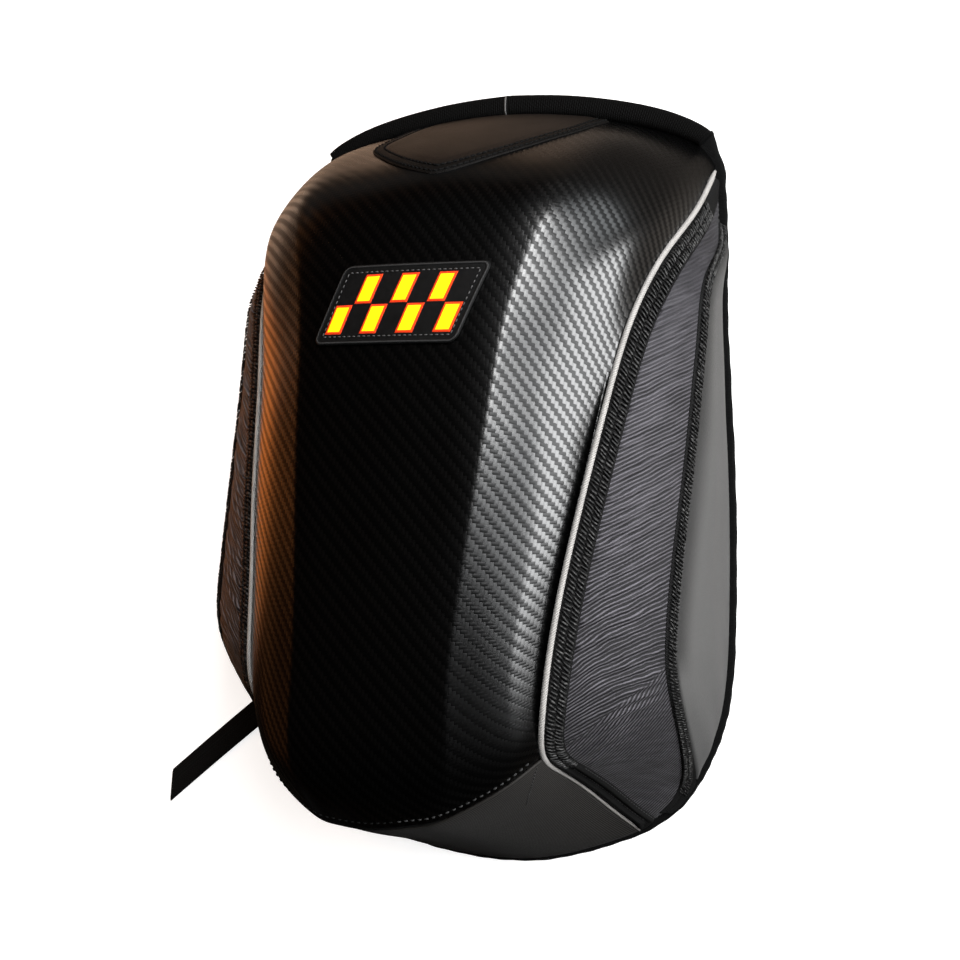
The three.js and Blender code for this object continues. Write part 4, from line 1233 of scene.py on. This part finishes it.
smooth_skin = Finish("smooth_skin", {"Specular IOR Level": 0.1})
from_rim = smooth_skin.cloth_mm()[0]
grain = smooth_skin.node("TexVoronoi", {"feature": "DISTANCE_TO_EDGE"}, {
    "Vector": smooth_skin.node("TexCoord", {}, {}, output=3), "Scale": 900.0,
})
wear = smooth_skin.noise(0.025, 4.0)
field = from_rim.step(6.5, 9.0)
tone = wear * 0.3 + field * 0.7
smooth_skin.surface({
    "Base Color": smooth_skin.mix(tone, (0.0008, 0.0007, 0.0006, 1), (0.0075, 0.0057, 0.0047, 1)),
    "Roughness": 0.42 + wear * 0.12 + (1 - field) * 0.16,
    "Normal": smooth_skin.bump(grain.step(0.0, 0.25), 0.00006),
})
panel = piece("panel_skin", grid_mesh(panel_points, panel_uv), smooth_skin, "smooth_skin", "top_panel")
walled(panel, PANEL_WALL)
panel_edge = round_border(panel_base + panel_out * 1.3 * MM)
panel_edge_out = round_border(panel_out)
border_stitches = [stitch_grids(*inset_line(panel_edge, panel_edge_out, depth), *BORDER_STITCH)
                   for depth in (BORDER_OUTER, BORDER_INNER)]
sewn("panel_stitches", border_stitches, dark_thread, "smooth_skin")


# Badge
# Black leaning patch sewn on the front, with a pale cord round its border and a pattern of leaning yellow
# cells in satin stitch, each with a red-orange outline.
BADGE_X, BADGE_Y = 2.5 * MM, 88 * MM
BADGE_WIDTH, BADGE_HEIGHT = 86 * MM, 44 * MM
BADGE_CORNER = 5 * MM
BADGE_LEAN, BADGE_TILT = 0.36, 0.03
CELL_COLUMNS, CELL_ROWS = 7, 2
CELL_WIDTH, CELL_HEIGHT = 10.8, 16.5
BADGE_ROWS, BADGE_COLUMNS = 120, 220
BADGE_WALL = 1.4 * MM
SEAM_INSET = 12
BADGE_STITCH = (3.0 * MM, 1.9 * MM, 0.3 * MM)


def shell_over(x, y):
    """Point of the shell over a place on its front."""
    first = np.full(x.shape, 3.0)
    last = np.full(x.shape, float(TONGUE_ROW))
    is_above = lambda row: shell_point(row, shell_across(row, x, 15))[..., 1] > y
    row = halving(first, last, is_above, 15)
    return shell_point(row, shell_across(row, x))


def spread(points, rows, columns):
    """Finer grid through a coarse one, by splines along its rows and then along its columns."""
    finer = spline(points.reshape(len(points), -1))(np.linspace(0, len(points) - 1, rows))
    finer = np.swapaxes(finer.reshape(rows, -1, 3), 0, 1)
    count = len(finer)
    finer = spline(finer.reshape(count, -1))(np.linspace(0, count - 1, columns))
    return np.swapaxes(finer.reshape(columns, rows, 3), 0, 1)


def badge_places(rows, columns):
    """Heights and places across of a grid over the whole patch, before it leans."""
    up = np.linspace(0.5, -0.5, rows) * BADGE_HEIGHT
    across = np.linspace(-0.5, 0.5, columns) * BADGE_WIDTH
    return np.meshgrid(up, across, indexing="ij")


def inner_runs(grid, inset):
    """Four lines round a grid, a number of rows and columns inside its border."""
    last, before = -inset - 1, inset - 1
    return (grid[inset, inset:-inset], grid[inset:-inset, last],
            grid[last, last:before:-1], grid[last:before:-1, inset])


coarse_up, coarse_across = badge_places(9, 17)
badge_sheet = shell_over(BADGE_X + coarse_across + BADGE_LEAN * coarse_up,
                         BADGE_Y + coarse_up + BADGE_TILT * coarse_across)
badge_sheet = spread(badge_sheet, BADGE_ROWS, BADGE_COLUMNS)
# Each row is drawn in to the rounded corners: the place across is read back from the full sheet.
badge_up, badge_across = badge_places(BADGE_ROWS, BADGE_COLUMNS)
over_corner = np.maximum(np.abs(badge_up) - BADGE_HEIGHT / 2 + BADGE_CORNER, 0)
badge_half = BADGE_WIDTH / 2 - BADGE_CORNER + np.sqrt(BADGE_CORNER**2 - over_corner**2)
badge_across = badge_across * badge_half / (BADGE_WIDTH / 2)
read_at = (badge_across / BADGE_WIDTH + 0.5) * (BADGE_COLUMNS - 1)
read_left = np.clip(np.floor(read_at).astype(int), 0, BADGE_COLUMNS - 2)
read_share = (read_at - read_left)[..., None]
badge_line = np.arange(BADGE_ROWS)[:, None]
badge_base = (badge_sheet[badge_line, read_left] * (1 - read_share)
              + badge_sheet[badge_line, read_left + 1] * read_share)
beyond_x = np.abs(badge_across) - BADGE_WIDTH / 2 + BADGE_CORNER
beyond_y = np.abs(badge_up) - BADGE_HEIGHT / 2 + BADGE_CORNER
badge_rim = (BADGE_CORNER - np.hypot(np.maximum(beyond_x, 0), np.maximum(beyond_y, 0))
             - np.minimum(np.maximum(beyond_x, beyond_y), 0)) / MM
column = badge_across / MM / CELL_WIDTH + CELL_COLUMNS / 2
line = badge_up / MM / CELL_HEIGHT + CELL_ROWS / 2
in_cells = (column > 0) & (column < CELL_COLUMNS) & (line > 0) & (line < CELL_ROWS)
is_cell = in_cells & ((np.floor(column) + np.floor(line)) % 2 == 0)
cell_rim = np.minimum((0.5 - np.abs(column % 1 - 0.5)) * CELL_WIDTH,
                      (0.5 - np.abs(line % 1 - 0.5)) * CELL_HEIGHT)
badge_lift = (1.6 + 0.5 * smooth(0, 1.2, badge_rim) + 0.5 * np.exp(-(((badge_rim - 1.2) / 0.6) ** 2))
              + is_cell * 0.45 * smooth(0.2, 0.9, cell_rim)) * MM
badge_points = badge_base + normals(badge_base) * badge_lift[..., None]
badge_uv = np.stack([badge_across, badge_up], axis=-1)

patch = Finish("patch", {"Specular IOR Level": 0.07})
across, along = patch.cloth_mm()
column = across / CELL_WIDTH + CELL_COLUMNS / 2
line = along / CELL_HEIGHT + CELL_ROWS / 2
edge_x = (0.5 - abs(column.fraction() - 0.5)) * CELL_WIDTH
edge_y = (0.5 - abs(line.fraction() - 0.5)) * CELL_HEIGHT
cell_edge = edge_x.lower(edge_y)
inside = (abs(across) < CELL_WIDTH * CELL_COLUMNS / 2) * (abs(along) < CELL_HEIGHT * CELL_ROWS / 2)
chosen = inside * (((column.floor() + line.floor()) % 2) < 0.5)
is_outline = chosen * cell_edge.step(0.25, 0.45)
is_yellow = chosen * cell_edge.step(1.5, 1.7)
beyond_x = abs(across) - (BADGE_WIDTH / 2 - BADGE_CORNER) / MM
beyond_y = abs(along) - (BADGE_HEIGHT / 2 - BADGE_CORNER) / MM
corner_x, corner_y = beyond_x.higher(0.0), beyond_y.higher(0.0)
beyond_corner = (corner_x * corner_x + corner_y * corner_y).root()
rim = BADGE_CORNER / MM - beyond_corner - beyond_x.higher(beyond_y).lower(0.0)
is_cord = rim.step(0.7, 0.9) * (1 - rim.step(1.5, 1.7))
satin = ((across + along * 0.25) / 0.55).wave()
fleck = patch.noise(0.004, 3.0)
cloth = patch.mix(fleck, grey(0.001), grey(0.005))
cord = patch.mix(satin, grey(0.008), grey(0.035))
red = patch.mix(satin, (0.5, 0.02, 0.004, 1), (0.85, 0.055, 0.008, 1))
yellow = patch.mix(satin, (0.85, 0.6, 0.001, 1), (1.0, 0.84, 0.002, 1))
colour = patch.mix(is_cord, cloth, cord)
colour = patch.mix(is_outline, colour, red)
patch.surface({
    "Base Color": patch.mix(is_yellow, colour, yellow),
    "Roughness": 0.5 + fleck * 0.2,
    "Normal": patch.bump(satin * (0.3 + chosen * 0.7) + fleck * 0.3, 0.00015),
})
badge_patch = piece("badge_patch", grid_mesh(badge_points, badge_uv), patch, "patch", "badge")
walled(badge_patch, BADGE_WALL)
badge_runs = inner_runs(badge_points, SEAM_INSET)
badge_outs = inner_runs(normals(badge_points), SEAM_INSET)
grey_thread = thread("grey_thread", 0.05, 0.5)
badge_stitches = [stitch_grids(run, out, *BADGE_STITCH) for run, out in zip(badge_runs, badge_outs)]
sewn("badge_stitches", badge_stitches, grey_thread, "patch")


# Studio
# White floor paper that glows, a soft window on the right, two wide panels of sky and a long tube beyond the
# top right, a warm fill on the left, and a room that is lit only near its horizon. The camera sees white
# paper and a plain backdrop; the pack gets the dim and partly warm light of the room from both.
FLOOR_HALF = 6.0
FLOOR_LEVEL = -0.2 * MM
floor_corners = np.array([(-1, -1, 0), (1, -1, 0), (1, 1, 0), (-1, 1, 0)]) * FLOOR_HALF
floor_corners[:, 2] = FLOOR_LEVEL
floor_mesh = bpy.data.meshes.new("floor")
floor_mesh.from_pydata(floor_corners.tolist(), [], [(0, 1, 2, 3)])
floor = bpy.data.objects.new("floor", floor_mesh)
bpy.context.collection.objects.link(floor)
paper = Finish("floor_paper", {
    "Specular IOR Level": 0.2, "Emission Color": (1.0, 0.995, 0.99, 1), "Emission Strength": 0.78,
})
mottle = paper.noise(0.4, 3.0)
paper.surface({
    "Base Color": paper.mix(mottle, grey(0.5), grey(0.54)),
    "Roughness": 0.8 + mottle * 0.1,
})
# The paper throws less light back on the pack than it shows, as the dark room round a lit table does.
x, y = paper.body_mm()[:2]
right_side = x.step(-60.0, 120.0)
left_side = 1 - x.step(-330.0, -160.0)
warm_room = paper.mix(right_side, (0.33, 0.235, 0.17, 1), (0.15, 0.135, 0.12, 1))
warm_room = paper.mix(1 - y.step(-200.0, -80.0), warm_room, (0.012, 0.01, 0.008, 1))
warm_room = paper.mix((1 - right_side) * y.step(290.0, 400.0), warm_room, (0.04, 0.03, 0.022, 1))
warm_room = paper.mix(right_side * y.step(150.0, 300.0), warm_room, (0.06, 0.053, 0.047, 1))
beside_left = left_side * (1 - y.step(60.0, 200.0)) * y.step(-200.0, -70.0)
warm_room = paper.mix(beside_left, warm_room, (0.9, 0.28, 0.07, 1))
far_left = beside_left * (1 - x.step(-650.0, -280.0))
glow = paper.mix(beside_left, (0, 0, 0, 1), (0.1, 0.035, 0.008, 1))
glow = paper.mix(far_left, glow, (0.36, 0.13, 0.035, 1))
behind_left = left_side * y.step(200.0, 300.0) * (1 - y.step(330.0, 440.0))
glow = paper.mix(behind_left, glow, (0.32, 0.26, 0.21, 1))
bounce = paper.node("BsdfPrincipled", {}, {
    "Base Color": warm_room, "Roughness": 0.9, "Specular IOR Level": 0.0,
    "Emission Color": glow, "Emission Strength": 1.0,
})
seen = paper.node("LightPath", {}, {})
shown = Signal(paper, paper.shader.outputs[0])
lit = paper.node("MixShader", {}, {0: seen, 1: bounce, 2: shown})
paper.tree.links.new(lit.socket, paper.tree.nodes["Material Output"].inputs["Surface"])
floor_mesh.materials.append(paper.material)


def soft_light(name, place, target, along, size, energy, colour):
    """Rectangular soft light at a place, turned towards a target, with its length in a direction."""
    data = bpy.data.lights.new(name, "AREA")
    data.shape = "RECTANGLE"
    data.size, data.size_y = size
    data.energy = energy
    data.color = colour
    lamp = bpy.data.objects.new(name, data)
    back = (Vector(place) - Vector(target)).normalized()
    side = Vector(along).cross(back).normalized()
    turned = Matrix((side, back.cross(side), back)).transposed().to_4x4()
    lamp.matrix_world = Matrix.Translation(place) @ turned
    bpy.context.collection.objects.link(lamp)
    return lamp


UPRIGHT = (0, 0, 1)
BROW = (0.06, 0.1, 0.15)
OVER_BROW = (-0.26, 1.06, -0.6)
soft_light("window", (1.12, 0.16, 0.52), (0.09, 0.0, 0.14), UPRIGHT, (0.74, 0.96), 31, (0.98, 0.99, 1.0))
soft_light("sky", (0.83, 0.545, 1.1), BROW, OVER_BROW, (0.5, 1.4), 10, (0.96, 0.98, 1.0))
soft_light("far_sky", (0.85, 1.02, 0.42), (0.1, 0.15, 0.12), UPRIGHT, (0.6, 0.6), 3.2, (0.92, 0.97, 1.0))
# A warm lamp on the left only fills the shade and has no mirror image.
fill = soft_light("fill", (-0.8, 0.6, 0.4), (-0.1, 0.0, 0.1), UPRIGHT, (0.5, 0.4), 7, (1.0, 0.6, 0.34))
fill.visible_glossy = False
soft_light("tube", (0.514, 0.635, 1.06), BROW, OVER_BROW, (0.2, 1.06), 15.5, (1.0, 1.0, 1.0))


class Room(Finish):
    """The room round the pack, made of the same nodes as a finish."""

    def __init__(self, name):
        self.world = bpy.data.worlds.new(name)
        self.world.use_nodes = True
        self.tree = self.world.node_tree
        self.shader = self.tree.nodes["Background"]


room = Room("room")
x = room.node("SeparateXYZ", {}, {0: room.node("TexCoord", {}, {})})
y, z = x.output(1), x.output(2)
# The walls are lit only near the horizon, hardly at all behind the pack's top left and towards its foot.
horizon = 0.38 - (z / 0.35).higher(0.0).lower(1.0) * 0.37
top_left = y.step(0.6, 0.76) * (1 - x.step(-0.15, 0.1))
towards_foot = 1 - ((y + 0.6) / 0.5).higher(0.0).lower(1.0)
room.surface({
    "Color": room.mix(((0.1 - x) / 0.6).higher(0.0).lower(1.0), (1.0, 0.97, 0.94, 1), (0.9, 0.33, 0.1, 1)),
    "Strength": horizon * (1 - top_left * 0.85) * (1 - towards_foot * 0.96),
})
# The eye sees a plain pale backdrop instead.
backdrop = room.node("Background", {}, {"Color": grey(0.9)})
walls = Signal(room, room.shader.outputs[0])
around = room.node("MixShader", {}, {0: room.node("LightPath", {}, {}), 1: walls, 2: backdrop})
room.tree.links.new(around.socket, room.tree.nodes["World Output"].inputs["Surface"])
bpy.context.scene.world = room.world
bpy.context.scene.view_settings.view_transform = "Standard"

# The camera looks at the front from 24 degrees to the right, turned by 3.4 degrees about its own line.
camera_data = bpy.data.cameras.new("camera")
camera_data.lens = 48.41
camera_data.sensor_width = 36
camera = bpy.data.objects.new("camera", camera_data)
bpy.context.collection.objects.link(camera)
right = Vector((0.91194, 0.05931, -0.40602))
up = Vector((-0.05418, 0.99824, 0.02412))
back = Vector((0.40674, 0.0, 0.91355))
turned = Matrix((right, up, back)).transposed().to_4x4()
camera.matrix_world = Matrix.Translation((0.32485, -0.0027, 0.76516)) @ turned
bpy.context.scene.camera = camera

bpy.context.view_layer.update()
